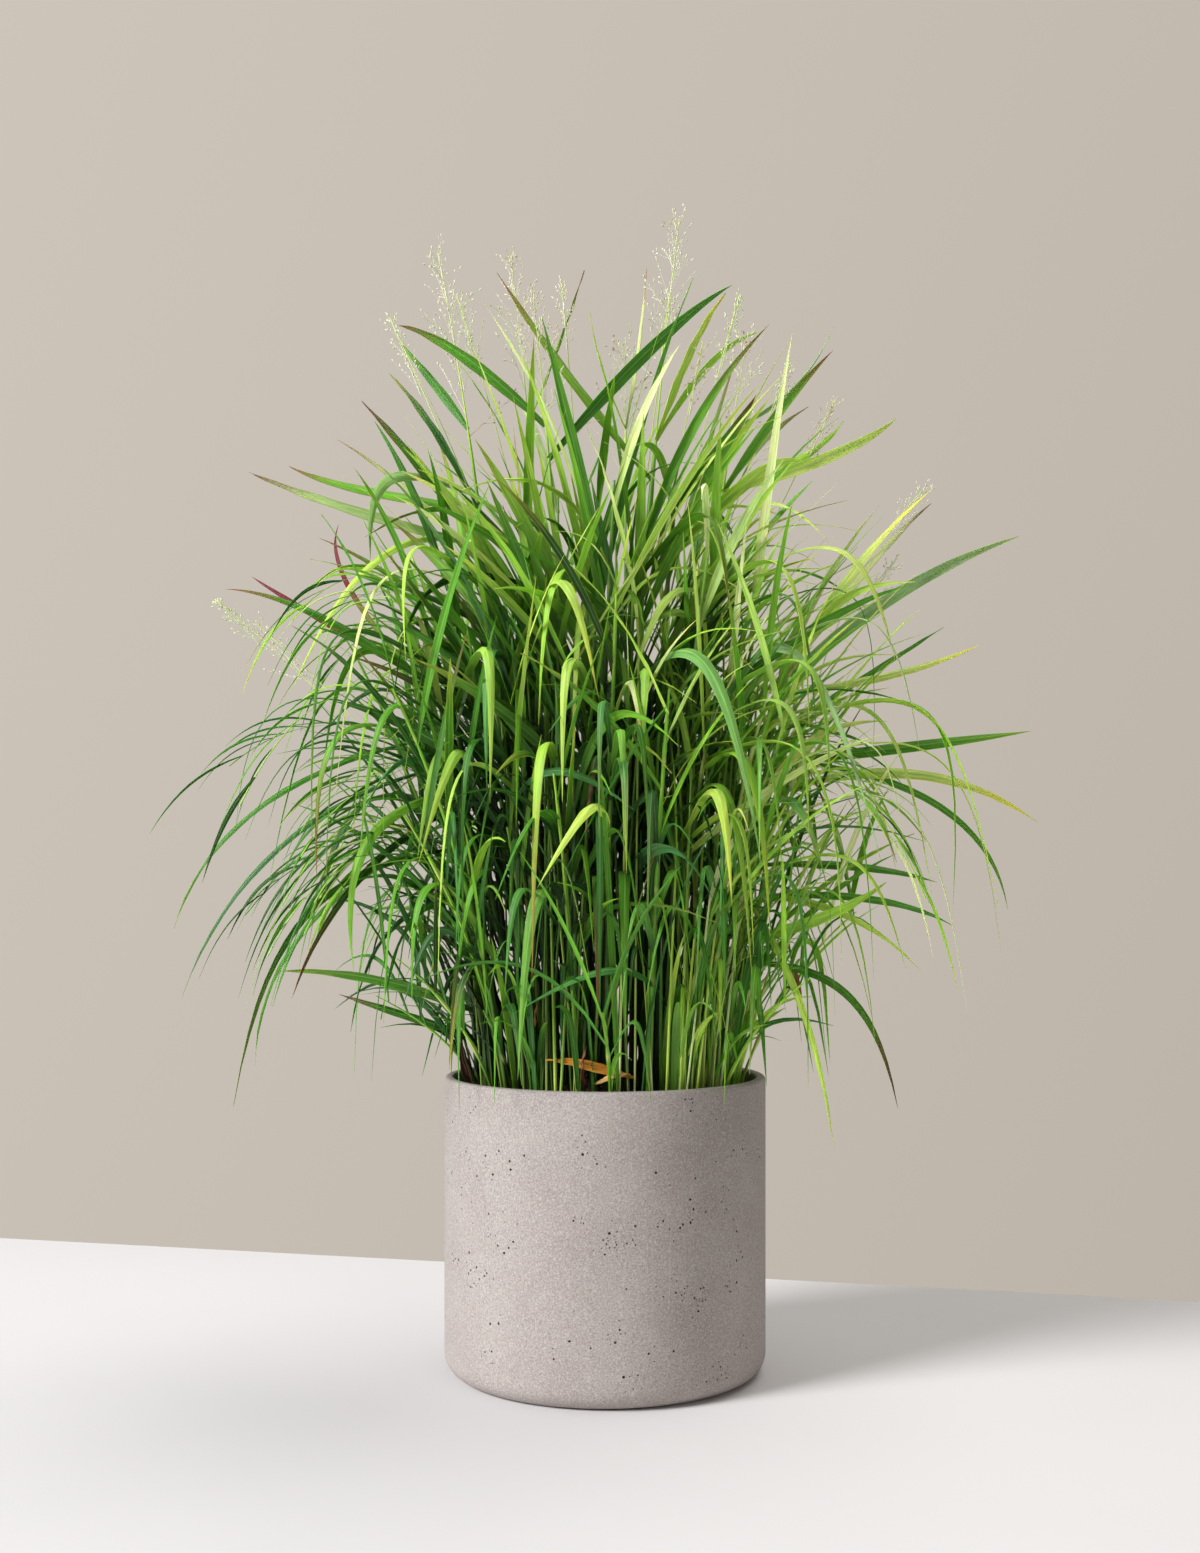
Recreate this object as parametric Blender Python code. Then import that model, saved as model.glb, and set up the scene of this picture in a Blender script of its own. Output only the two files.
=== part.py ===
"""Switchgrass growing in a round concrete planter.

Metres, +Z up. The origin is the middle of the planter's flat underside.
The picture plane is XZ, and the viewer stands on the -Y side.
Each culm is one leafy stem: a rising stalk with the blades that grow on it,
and on a few of them the thin branches of a seed head.
"""

import math
import random

import bmesh
import bpy
from mathutils import Matrix, Vector
from mathutils.bvhtree import BVHTree

MM = 0.001
TOUCH_GAP = 0.3 * MM

# Planter: a straight round pot with a soft lower edge and a thin rim
POT_RADIUS = 150 * MM
POT_HEIGHT = 275 * MM
POT_WALL = 9.5 * MM
POT_FLOOR = 14 * MM
POT_FOOT_ROUND = 19 * MM
POT_RIM_ROUND = 3.5 * MM
POT_INNER_ROUND = 10 * MM
POT_SIDES = 40

# Soil: fills the planter to just below its rim, a little higher in the middle
SOIL_EDGE_Z = 264 * MM
SOIL_CROWN_Z = 267 * MM
HOLE_DEPTH = 32 * MM
HOLE_SIDES = 5

# Culms: the upright stalks
CULM_COUNT = 56
CROWN_RADIUS = 127 * MM
CROWN_HEART = 25 * MM
CULM_BASE_RADIUS = 2.0 * MM
CULM_TIP_RADIUS = 1.0 * MM
CULM_SIDES = 4
CULM_SPANS = 4
CULM_STRAIGHT = 6 * MM
GOLDEN_ANGLE = math.radians(137.508)

# Blades: the long keeled leaves
BLADES_PER_CULM = 7
SHARP_ARCH = math.radians(105)
KEEL_SHARE = 0.17
KEEL_LEAST = 1.3 * MM
SIDE_CLEAR = 1.2 * MM
KEEL_CLEAR = 0.8 * MM
POT_CLEAR = 2 * MM
TRIES = 40

# Room that the blades placed by rule keep to
ROOM_MIDDLE_Z = 600 * MM
ROOM_UP = 420 * MM
ROOM_DOWN = 390 * MM
ROOM_REACH = 315 * MM
ROOM_SHALLOW = 1.15
ROOM_CURVE = 2.6

SEED = 27

# Tops of the culms that carry seed heads, in millimetres
SEED_HEAD_TOPS = [
    (70, 0, 1080),
    (-155, -20, 1040),
    (-90, 20, 1052),
    (-66, -40, 996),
    (132, -30, 962),
    (20, 60, 985),
]

# Blades that give the plant its outline, chosen one by one, in millimetres:
# root, the height of the arch, the tip, how tightly the arch folds, the width
MARKED_BLADES = [
    ("top right arch", (-40, -30, 835), (55, -85, 955), (115, -60, 995), 0.70, 12),
    ("top pale sickle", (65, 10, 880), (80, -5, 965), (115, 20, 1015), 0.70, 10),
    ("top dark point", (-5, 20, 910), (35, 15, 975), (40, 40, 1045), 0.66, 9),
    ("top thin point", (-40, 30, 885), (-40, 35, 980), (-20, 60, 1050), 0.66, 8),
    ("top short point", (-5, 15, 890), (-10, 5, 945), (-15, 30, 1005), 0.66, 7),
    ("top left lance", (35, -10, 835), (-40, -45, 920), (-100, -20, 1020), 0.66, 11),
    ("top left arch", (-70, -20, 870), (-140, -65, 950), (-190, -40, 965), 0.66, 12),
    ("upper left lance", (-95, -30, 805), (-145, -85, 860), (-195, -60, 915), 0.66, 12),
    ("upper left far lance", (-120, 15, 875), (-155, 5, 920), (-200, 30, 975), 0.66, 9),
    ("upper right lance", (85, -40, 795), (105, -105, 835), (135, -80, 890), 0.66, 13),
    ("upper right point", (125, -15, 820), (155, -55, 885), (210, -30, 945), 0.66, 9),
    ("upper right strap", (200, 20, 865), (190, 15, 915), (220, 40, 990), 0.66, 8),
    ("right shoulder point", (175, 5, 815), (195, -15, 845), (225, 10, 890), 0.66, 9),
    ("right shoulder lance", (200, -10, 810), (230, -45, 845), (270, -20, 885), 0.66, 11),
    ("top right sickle", (70, 30, 885), (100, 35, 970), (150, 60, 990), 0.70, 12),
    ("left shoulder lance", (-110, -30, 750), (-165, -85, 830), (-220, -60, 890), 0.66, 12),
    ("left long lance", (-200, -10, 745), (-260, -45, 800), (-330, -20, 835), 0.66, 10),
    ("left lance", (-195, 10, 785), (-250, -5, 820), (-300, 20, 850), 0.66, 11),
    ("left folded strap", (-150, -45, 785), (-210, -115, 840), (-210, -90, 745), 0.80, 11),
    ("left spike", (-275, 0, 695), (-265, -25, 740), (-250, 0, 790), 0.66, 6),
    ("left low lance", (-190, -15, 670), (-275, -55, 720), (-350, -30, 725), 0.66, 10),
    ("left needle", (-260, 10, 700), (-300, -5, 720), (-335, 20, 745), 0.66, 6),
    ("left long arch", (-95, -40, 770), (-205, -105, 790), (-280, -80, 625), 0.70, 8),
    ("left inner arch", (-85, -60, 725), (-175, -145, 745), (-185, -120, 595), 0.75, 9),
    ("left outer arch", (-150, -30, 660), (-235, -85, 705), (-255, -60, 555), 0.75, 9),
    ("far left weeper", (-255, -10, 580), (-355, -45, 550), (-400, -20, 410), 0.66, 9),
    ("far left long weeper", (-245, -25, 550), (-320, -75, 520), (-385, -50, 350), 0.66, 9),
    ("lowest left weeper", (-190, -20, 475), (-300, -65, 465), (-340, -40, 250), 0.75, 10),
    ("far left low weeper", (-260, 5, 485), (-325, -15, 430), (-330, 10, 280), 0.66, 7),
    ("left bright weeper", (-190, -40, 520), (-235, -105, 475), (-280, -80, 350), 0.66, 9),
    ("left broad weeper", (-170, -55, 530), (-235, -135, 515), (-220, -110, 375), 0.75, 12),
    ("low left broad weeper", (-120, -60, 435), (-175, -145, 455), (-195, -120, 335), 0.75, 11),
    ("low left weeper", (-160, -30, 430), (-210, -85, 430), (-230, -60, 320), 0.75, 9),
    ("low left level blade", (-125, -35, 335), (-200, -95, 380), (-295, -70, 375), 0.66, 11),
    ("low left point", (-150, 0, 315), (-195, -25, 335), (-250, 0, 350), 0.66, 8),
    ("rim left hanger", (-95, -75, 360), (-125, -175, 405), (-135, -150, 295), 0.80, 8),
    ("left front hanger", (-115, -75, 530), (-140, -175, 605), (-160, -150, 475), 0.80, 11),
    ("left front strap", (-160, -65, 555), (-180, -155, 585), (-210, -130, 510), 0.70, 13),
    ("right bright lance", (155, -15, 700), (220, -55, 750), (305, -30, 820), 0.66, 12),
    ("right long lance", (200, 0, 680), (275, -25, 740), (390, 0, 780), 0.66, 13),
    ("right yellow lance", (230, 5, 615), (285, -15, 645), (355, 10, 680), 0.66, 10),
    ("right level lance", (220, -10, 560), (295, -45, 580), (395, -20, 595), 0.66, 12),
    ("right thin lance", (230, 20, 630), (270, 15, 665), (325, 40, 700), 0.66, 7),
    ("right shoulder fold", (80, -30, 750), (145, -85, 840), (180, -60, 835), 0.75, 13),
    ("front right great arch", (45, -95, 615), (90, -215, 705), (130, -190, 470), 0.75, 12),
    ("right long hanger", (120, -75, 670), (175, -175, 700), (235, -150, 475), 0.70, 10),
    ("far right arch", (240, -5, 530), (300, -35, 580), (405, -10, 510), 0.70, 11),
    ("far right weeper", (280, 5, 540), (355, -15, 550), (380, 10, 430), 0.66, 7),
    ("right low level blade", (185, 10, 465), (250, -5, 475), (315, 20, 455), 0.66, 9),
    ("right low point", (180, -15, 430), (260, -55, 450), (320, -30, 415), 0.66, 8),
    ("right low pale blade", (170, -30, 440), (225, -85, 440), (285, -60, 375), 0.66, 10),
    ("low right broad blade", (170, -45, 390), (200, -115, 420), (250, -90, 455), 0.66, 13),
    ("low right weeper", (125, -30, 385), (235, -85, 385), (265, -60, 250), 0.75, 12),
    ("lowest right weeper", (125, -55, 440), (180, -135, 355), (200, -110, 225), 0.70, 9),
    ("rim right blade", (120, -20, 295), (135, -65, 325), (165, -40, 340), 0.66, 6),
    ("right brown point", (175, 10, 710), (245, -5, 760), (310, 20, 815), 0.66, 8),
    ("front hoop", (-55, -100, 635), (-35, -225, 760), (-5, -200, 605), 0.80, 10),
    ("front left hanger", (-120, -100, 615), (-90, -225, 685), (-95, -200, 520), 0.90, 10),
    ("front middle hanger", (-25, -105, 595), (-35, -235, 675), (-35, -210, 520), 0.90, 10),
    ("front long hanger", (-40, -85, 615), (-10, -195, 690), (-5, -170, 475), 0.80, 10),
    ("front right drop", (75, -75, 705), (50, -175, 725), (20, -150, 615), 0.75, 9),
    ("front cross arch", (105, -60, 665), (75, -145, 710), (15, -120, 665), 0.70, 8),
    ("front low left arch", (-45, -105, 485), (-50, -235, 550), (-90, -210, 440), 0.75, 11),
    ("front sickle", (0, -110, 480), (0, -245, 545), (-55, -220, 450), 0.85, 11),
    ("front left arch", (-105, -95, 520), (-115, -215, 605), (-155, -190, 470), 0.80, 10),
    ("front level arch", (-100, -85, 455), (-70, -195, 590), (25, -170, 515), 0.75, 11),
    ("front right hanger", (70, -100, 485), (95, -225, 570), (105, -200, 435), 0.85, 11),
    ("front pale strap", (30, -95, 455), (50, -215, 520), (90, -190, 440), 0.66, 13),
    ("front inner hanger", (50, -85, 600), (35, -195, 665), (30, -170, 555), 0.85, 10),
    ("right front hanger", (115, -75, 555), (145, -175, 615), (155, -150, 445), 0.80, 11),
    ("right front pale hanger", (140, -65, 500), (160, -155, 560), (190, -130, 460), 0.75, 10),
    ("front foot arch", (50, -80, 340), (25, -185, 410), (-75, -160, 345), 0.75, 10),
]


def clear_scene():
    for thing in list(bpy.data.objects):
        bpy.data.objects.remove(thing, do_unlink=True)


def material(name, colour, roughness):
    finish = bpy.data.materials.new(name)
    finish.use_nodes = True
    shader = finish.node_tree.nodes["Principled BSDF"]
    shader.inputs["Base Color"].default_value = (*colour, 1.0)
    shader.inputs["Roughness"].default_value = roughness
    shader.inputs["Metallic"].default_value = 0.0
    return finish


def object_from(name, verts, faces, finish=None):
    mesh = bpy.data.meshes.new(name)
    mesh.from_pydata([tuple(v) for v in verts], [], faces)
    mesh.update()
    made = bpy.data.objects.new(name, mesh)
    bpy.context.scene.collection.objects.link(made)
    if finish:
        mesh.materials.append(finish)
    return made


# Turned pieces

def turned(name, profile, sides, finish):
    """Spin a closed (radius, height) profile that starts and ends on the axis."""
    shape = bmesh.new()
    points = [shape.verts.new((r, 0.0, z)) for r, z in profile]
    edges = [shape.edges.new(pair) for pair in zip(points, points[1:])]
    bmesh.ops.spin(shape, geom=points + edges, cent=(0, 0, 0), axis=(0, 0, 1),
                   angle=2 * math.pi, steps=sides, use_merge=True)
    bmesh.ops.remove_doubles(shape, verts=shape.verts, dist=0.01 * MM)
    bmesh.ops.recalc_face_normals(shape, faces=shape.faces)
    mesh = bpy.data.meshes.new(name)
    shape.to_mesh(mesh)
    shape.free()
    mesh.shade_smooth()
    mesh.set_sharp_from_angle(angle=math.radians(40))
    mesh.materials.append(finish)
    made = bpy.data.objects.new(name, mesh)
    bpy.context.scene.collection.objects.link(made)
    return made


def corner(centre_r, centre_z, radius, start, end, steps):
    """Points round a corner, with its angles in degrees from the outward direction."""
    points = []
    for step in range(steps + 1):
        angle = math.radians(start + (end - start) * step / steps)
        points.append((centre_r + radius * math.cos(angle), centre_z + radius * math.sin(angle)))
    return points


def planter(finish):
    inner = POT_RADIUS - POT_WALL
    profile = [(0.0, 0.0)]
    profile += corner(POT_RADIUS - POT_FOOT_ROUND, POT_FOOT_ROUND, POT_FOOT_ROUND, -90, 0, 3)
    profile += corner(POT_RADIUS - POT_RIM_ROUND, POT_HEIGHT - POT_RIM_ROUND, POT_RIM_ROUND, 0, 90, 2)
    profile += corner(inner + POT_RIM_ROUND, POT_HEIGHT - POT_RIM_ROUND, POT_RIM_ROUND, 90, 180, 2)
    profile += corner(inner - POT_INNER_ROUND, POT_FLOOR + POT_INNER_ROUND, POT_INNER_ROUND, 0, -90, 2)
    profile += [(0.0, POT_FLOOR)]
    return turned("planter", profile, POT_SIDES, finish)


def soil_height(radius):
    share = min(1.0, radius / (POT_RADIUS - POT_WALL))
    return SOIL_CROWN_Z + (SOIL_EDGE_Z - SOIL_CROWN_Z) * share ** 2


def soil(culms, finish):
    inner = POT_RADIUS - POT_WALL - TOUCH_GAP
    floor = POT_FLOOR + TOUCH_GAP
    bend = POT_INNER_ROUND - TOUCH_GAP
    profile = [(0.0, floor)]
    profile += corner(inner - bend, floor + bend, bend, -90, 0, 2)
    profile += [(inner, soil_height(inner)), (0.5 * inner, soil_height(0.5 * inner)), (0.0, soil_height(0.0))]
    made = turned("soil", profile, POT_SIDES, finish)
    cutter = bpy.data.meshes.new("stem_holes")
    holes = bmesh.new()
    for culm in culms:
        middle = Vector((culm["foot"].x, culm["foot"].y, culm["foot"].z - TOUCH_GAP + HOLE_DEPTH))
        radius = (CULM_BASE_RADIUS + TOUCH_GAP) / math.cos(math.pi / HOLE_SIDES)
        bmesh.ops.create_cone(holes, cap_ends=True, segments=HOLE_SIDES, radius1=radius, radius2=radius,
                              depth=2 * HOLE_DEPTH, matrix=Matrix.Translation(middle))
    holes.to_mesh(cutter)
    holes.free()
    drill = bpy.data.objects.new("stem_holes", cutter)
    drill.hide_render = True
    drill.display_type = "WIRE"
    bpy.context.scene.collection.objects.link(drill)
    cut = made.modifiers.new("stem holes", "BOOLEAN")
    cut.operation = "DIFFERENCE"
    cut.solver = "EXACT"
    cut.object = drill
    return made


# Curves

def curve_point(points, t):
    """A point on the Bezier curve through the first and last of three or four points."""
    row = list(points)
    while len(row) > 1:
        row = [a.lerp(b, t) for a, b in zip(row, row[1:])]
    return row[0]


def curve_points(points, stations):
    return [curve_point(points, t) for t in stations]


def stations_by_bend(points, spans):
    """Stations that lie closer together where the curve turns."""
    fine = 24
    row = curve_points(points, [i / fine for i in range(fine + 1)])
    weights = [0.0]
    for i in range(1, fine + 1):
        step = row[i] - row[i - 1]
        before = row[i - 1] - row[i - 2] if i > 1 else step
        weights.append(weights[-1] + 1.0 + 14.0 * step.angle(before, 0.0))
    stations = []
    for n in range(spans + 1):
        goal = weights[-1] * n / spans
        i = next(k for k in range(fine + 1) if weights[k] >= goal - 1e-9)
        span = weights[i] - weights[i - 1] if i else 1.0
        stations.append((i - (weights[i] - goal) / span) / fine if i else 0.0)
    return stations


def ease(value):
    value = max(0.0, min(1.0, value))
    return value * value * (3.0 - 2.0 * value)


# Blades

def blade_width(share, width):
    """Half the width of a blade at a share of its length."""
    swell = 0.45 + 0.55 * ease(share / 0.3)
    taper = 1.0 - max(0.0, (share - 0.4) / 0.6) ** 1.7
    return 0.5 * width * swell * taper


def blade_solid(blade, side_extra=0.0, keel_extra=0.0):
    """Three-cornered rings along the blade's curve, drawn to a point at its root and its tip."""
    stations = blade["stations"]
    row = curve_points(blade["curve"], stations)
    verts = [row[0]]
    for n in range(1, len(row) - 1):
        along = (row[n + 1] - row[n - 1]).normalized()
        side = blade["side"] - along * blade["side"].dot(along)
        side = (Matrix.Rotation(blade["roll"] + blade["twist"] * stations[n], 3, along) @ side).normalized()
        back = side.cross(along)
        half = blade_width(stations[n], blade["width"])
        lift = 0.5 * max(KEEL_LEAST, 2 * half * KEEL_SHARE) + keel_extra
        half += side_extra
        verts.append(row[n] + side * half + back * lift)
        verts.append(row[n] - side * half + back * lift)
        verts.append(row[n] - back * lift)
    verts.append(row[-1])
    last = len(verts) - 4
    faces = []
    for a, b in ((0, 1), (1, 2), (2, 0)):
        faces.append((1 + a, 1 + b, 0))
        for start in range(1, last, 3):
            faces.append((start + b, start + a, start + 3 + a))
            faces.append((start + b, start + 3 + a, start + 3 + b))
        faces.append((last + b, last + a, last + 3))
    return verts, faces


def blade_from(root, crest, tip, fold, width, roll, twist):
    flat = Vector((tip.x - root.x, tip.y - root.y, 0.0))
    if flat.length < 5 * MM:
        flat = Vector((root.x, root.y - 5 * MM, 0.0))
    curve = [root, root.lerp(crest, fold), tip.lerp(crest, fold), tip]
    spans = 5 if (crest - root).angle(tip - crest, 0.0) > SHARP_ARCH else 4
    return {"curve": curve, "side": Vector((0, 0, 1)).cross(flat).normalized(), "width": width,
            "roll": roll, "twist": twist, "stations": stations_by_bend(curve, spans)}


# Culms

def culm_shape(base, top):
    """The curve of a culm: it leaves the soil upright and leans out as it rises."""
    lean = Vector((base.x + 0.30 * (top.x - base.x), base.y + 0.30 * (top.y - base.y),
                   base.z + 0.60 * (top.z - base.z)))
    return [base, lean, top]


def tube(rings, sides):
    """A closed tube through rings of (centre, along, radius)."""
    verts = []
    faces = []
    for centre, along, radius in rings:
        turn = along.to_track_quat("Z", "X")
        for k in range(sides):
            angle = 2 * math.pi * k / sides
            verts.append(centre + turn @ Vector((radius * math.cos(angle), radius * math.sin(angle), 0.0)))
    for n in range(len(rings) - 1):
        for k in range(sides):
            a, b = n * sides + k, n * sides + (k + 1) % sides
            faces.append((a, b, b + sides))
            faces.append((a, b + sides, a + sides))
    last = (len(rings) - 1) * sides
    faces.append(tuple(reversed(range(sides))))
    faces.append(tuple(range(last, last + sides)))
    return verts, faces


def on_culm(culm, share):
    """A point on the straight spans that the culm's solid is made of."""
    span = min(CULM_SPANS - 1, int(share * CULM_SPANS))
    low = curve_point(culm["curve"], span / CULM_SPANS)
    high = curve_point(culm["curve"], (span + 1) / CULM_SPANS)
    return low.lerp(high, share * CULM_SPANS - span)


def culm_solid(culm, extra=0.0):
    up = Vector((0, 0, 1))
    rings = [(culm["foot"], up, culm["radius"] + extra)]
    for n in range(CULM_SPANS + 1):
        share = n / CULM_SPANS
        radius = culm["radius"] + (CULM_TIP_RADIUS - culm["radius"]) * share
        rings.append((curve_point(culm["curve"], share), up, radius + extra))
    return tube(rings, CULM_SIDES)


def branch_solid(start, end, thick, grain):
    """A thin seed-head branch that ends in a spikelet."""
    along = (end - start).normalized()
    neck = end - along * 3.0 * grain
    rings = [(start, along, thick), (neck, along, 0.8 * thick),
             (end - along * 1.6 * grain, along, grain), (end, along, 0.4 * thick)]
    return tube(rings, 3)


def tree_of(solids):
    verts = []
    faces = []
    for v, f in solids:
        start = len(verts)
        verts += v
        faces += [tuple(i + start for i in face) for face in f]
    return BVHTree.FromPolygons(verts, faces)


def clear_of(solid, trees):
    mine = tree_of([solid])
    return not any(mine.overlap(other) for other in trees)


def crown_bases():
    """Feet of the culms, spread evenly over the crown by the golden angle."""
    bases = []
    for i in range(CULM_COUNT):
        radius = CROWN_RADIUS * math.sqrt((i + 0.5) / CULM_COUNT)
        angle = i * GOLDEN_ANGLE
        x, y = radius * math.cos(angle), radius * math.sin(angle)
        bases.append(Vector((x, y, soil_height(radius) + CULM_STRAIGHT)))
    return bases


def fan_top(base, draw):
    """Where a culm ends: inner ones stand tall, outer ones lean out and stay lower."""
    share = math.hypot(base.x, base.y) / CROWN_RADIUS
    height = (825 - 215 * share ** 2 + draw.uniform(-60, 40)) * MM
    spread = 1.35 + 0.55 * draw.random()
    wander = 22 * MM
    return Vector((base.x * spread + draw.uniform(-wander, wander),
                   base.y * spread + draw.uniform(-wander, wander), height))


def grow_culms(draw):
    bases = crown_bases()
    tops = [None] * len(bases)
    for place in SEED_HEAD_TOPS:
        top = Vector(place) * MM
        free = [i for i in range(len(bases)) if tops[i] is None]
        nearest = min(free, key=lambda i: math.hypot(bases[i].x - 0.4 * top.x, bases[i].y - 0.4 * top.y))
        tops[nearest] = top
    headed = [i for i in range(len(bases)) if tops[i] is not None]
    culms = []
    for i in headed + [i for i in range(len(bases)) if i not in headed]:
        base = bases[i]
        trees = [culm["tree"] for culm in culms]
        for attempt in range(TRIES):
            top = tops[i] if i in headed and attempt == 0 else fan_top(base, draw)
            culm = {"curve": culm_shape(base, top), "radius": CULM_BASE_RADIUS, "seeds": i in headed,
                    "foot": Vector((base.x, base.y, base.z - CULM_STRAIGHT - HOLE_DEPTH + TOUCH_GAP)),
                    "blades": [], "solids": []}
            if clear_of(culm_solid(culm, SIDE_CLEAR), trees):
                break
        culm["tree"] = tree_of([culm_solid(culm)])
        culms.append(culm)
    return culms


def add_blade(culm, blade):
    culm["blades"].append(blade)
    culm["tree"] = tree_of([culm_solid(culm)] + [blade_solid(b) for b in culm["blades"]])


def clears_pot(blade):
    """True if the blade passes over the rim and the soil, or hangs outside the planter."""
    margin = 0.5 * blade["width"] + POT_CLEAR
    for place in curve_points(blade["curve"], [n / 24 for n in range(25)]):
        radius = math.hypot(place.x, place.y)
        if radius < POT_RADIUS - POT_WALL - margin:
            low = SOIL_CROWN_Z
        elif radius < POT_RADIUS + margin:
            low = POT_HEIGHT
        else:
            continue
        if place.z < low + margin:
            return False
    return True


def fits(blade, culm, culms):
    if not clears_pot(blade):
        return False
    grown = blade_solid(blade, SIDE_CLEAR, KEEL_CLEAR)
    others = [c["tree"] for c in culms if c is not culm]
    own = [tree_of([blade_solid(b)]) for b in culm["blades"]]
    return clear_of(grown, others + own)


def nearest_on(culms, place):
    """The culm and the share of its height that come closest to a place."""
    best = None
    for culm in culms:
        if len(culm["blades"]) >= BLADES_PER_CULM:
            continue
        for n in range(2, 20):
            point = on_culm(culm, n / 20)
            gap = (point - place).length
            if best is None or gap < best[0]:
                best = (gap, culm, n / 20)
    return best[1], best[2]


def grow_marked(culms):
    for n, (name, root, crest, tip, fold, width) in enumerate(MARKED_BLADES):
        draw = random.Random(1000 * SEED + n)
        root, crest, tip = (Vector(p) * MM for p in (root, crest, tip))
        culm, share = nearest_on(culms, root)
        across = abs(tip.x - root.x) / max(1 * MM, math.hypot(tip.x - root.x, tip.y - root.y))
        for attempt in range(TRIES):
            wander = attempt * 1.0 * MM
            shift = Vector((0.4 * draw.uniform(-1, 1), 2.5 * draw.uniform(-1, 1), 0.4 * draw.uniform(-1, 1)))
            shift *= wander
            start = on_culm(culm, max(0.05, min(0.98, share + draw.uniform(-1, 1) * attempt * 0.004)))
            blade = blade_from(start, crest + shift, tip + shift, fold, width * MM,
                               math.radians(58) * across * draw.choice((-1, 1)), draw.uniform(-0.5, 0.5))
            blade["name"] = name
            if fits(blade, culm, culms):
                add_blade(culm, blade)
                break
        else:
            print("left out:", name)


def in_room(blade):
    """True if the tip lies in the egg-shaped room that the clump fills."""
    tip = blade["curve"][-1]
    high = abs(tip.z - ROOM_MIDDLE_Z) / (ROOM_UP if tip.z > ROOM_MIDDLE_Z else ROOM_DOWN)
    wide = math.hypot(tip.x, ROOM_SHALLOW * tip.y) / ROOM_REACH
    return high ** ROOM_CURVE + wide ** ROOM_CURVE < 1.0


def rule_blade(culm, share, turn, draw):
    """A blade by rule: the upper ones stand up, the lower ones arch and hang."""
    root = on_culm(culm, share)
    away = math.atan2(root.y, root.x)
    if math.hypot(root.x, root.y) < CROWN_HEART:
        away = draw.uniform(-math.pi, math.pi)
    either_side = turn % 2 * 2 - 1
    angle = away + math.radians(either_side * draw.uniform(15, 75) + draw.uniform(-25, 25))
    flat = Vector((math.cos(angle), math.sin(angle), 0.0))
    up = Vector((0, 0, 1))
    length = draw.uniform(150, 300) * MM * (0.8 if share < 0.35 else 1.0)
    rise = math.radians(draw.uniform(58, 80) - 14 * (1 - share))
    kind = draw.random() - 0.9 * (share - 0.5)
    if share < 0.7:
        kind += 0.25 * max(0.0, -flat.y)
    if kind < 0.36:
        fold, first, fall = 0.66, 0.55, rise - math.radians(draw.uniform(15, 40))
    elif kind < 0.72:
        fold, first, fall = 0.72, 0.50, math.radians(draw.uniform(-45, 10))
    else:
        fold, first, fall = 0.88, 0.42, math.radians(draw.uniform(-88, -72))
    crest = root + (flat * math.cos(rise) + up * math.sin(rise)) * length * first
    tip = crest + (flat * math.cos(fall) + up * math.sin(fall)) * length * (1 - first)
    return blade_from(root, crest, tip, fold, draw.uniform(6, 9.5) * MM,
                      math.radians(draw.uniform(-50, 50)), draw.uniform(-0.7, 0.7))


def grow_rest(culms):
    for number, culm in enumerate(culms):
        if culm["seeds"]:
            continue
        draw = random.Random(2000 * SEED + number)
        missing = BLADES_PER_CULM - len(culm["blades"])
        lowest = 0.24 + 0.1 * draw.random()
        for n in range(missing):
            share = lowest + (0.99 - lowest) * (n + draw.random() * 0.5) / max(1, missing - 0.5)
            for attempt in range(TRIES):
                blade = rule_blade(culm, min(0.985, share), n, draw)
                if in_room(blade) and fits(blade, culm, culms):
                    add_blade(culm, blade)
                    break


def seed_head(culm, culms, draw):
    """Airy branches round the top of a culm."""
    branches = []
    others = [c["tree"] for c in culms if c is not culm]
    for n in range(8):
        share = 0.74 + 0.25 * n / 8
        start = on_culm(culm, share)
        reach = (62 - 44 * n / 8) * MM
        for attempt in range(TRIES):
            angle = n * GOLDEN_ANGLE + draw.uniform(-0.5, 0.5)
            lift = math.radians(draw.uniform(38, 62))
            way = Vector((math.cos(angle) * math.cos(lift), math.sin(angle) * math.cos(lift), math.sin(lift)))
            solid = branch_solid(start, start + way * reach, 0.6 * MM, 1.5 * MM)
            own = [tree_of([blade_solid(b)]) for b in culm["blades"]]
            wide = branch_solid(start, start + way * reach, 1.5 * MM, 2.4 * MM)
            if clear_of(wide, others + own + [tree_of([b]) for b in branches]):
                branches.append(solid)
                break
    culm["solids"] = branches
    culm["tree"] = tree_of([culm_solid(culm)] + [blade_solid(b) for b in culm["blades"]] + branches)


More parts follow.
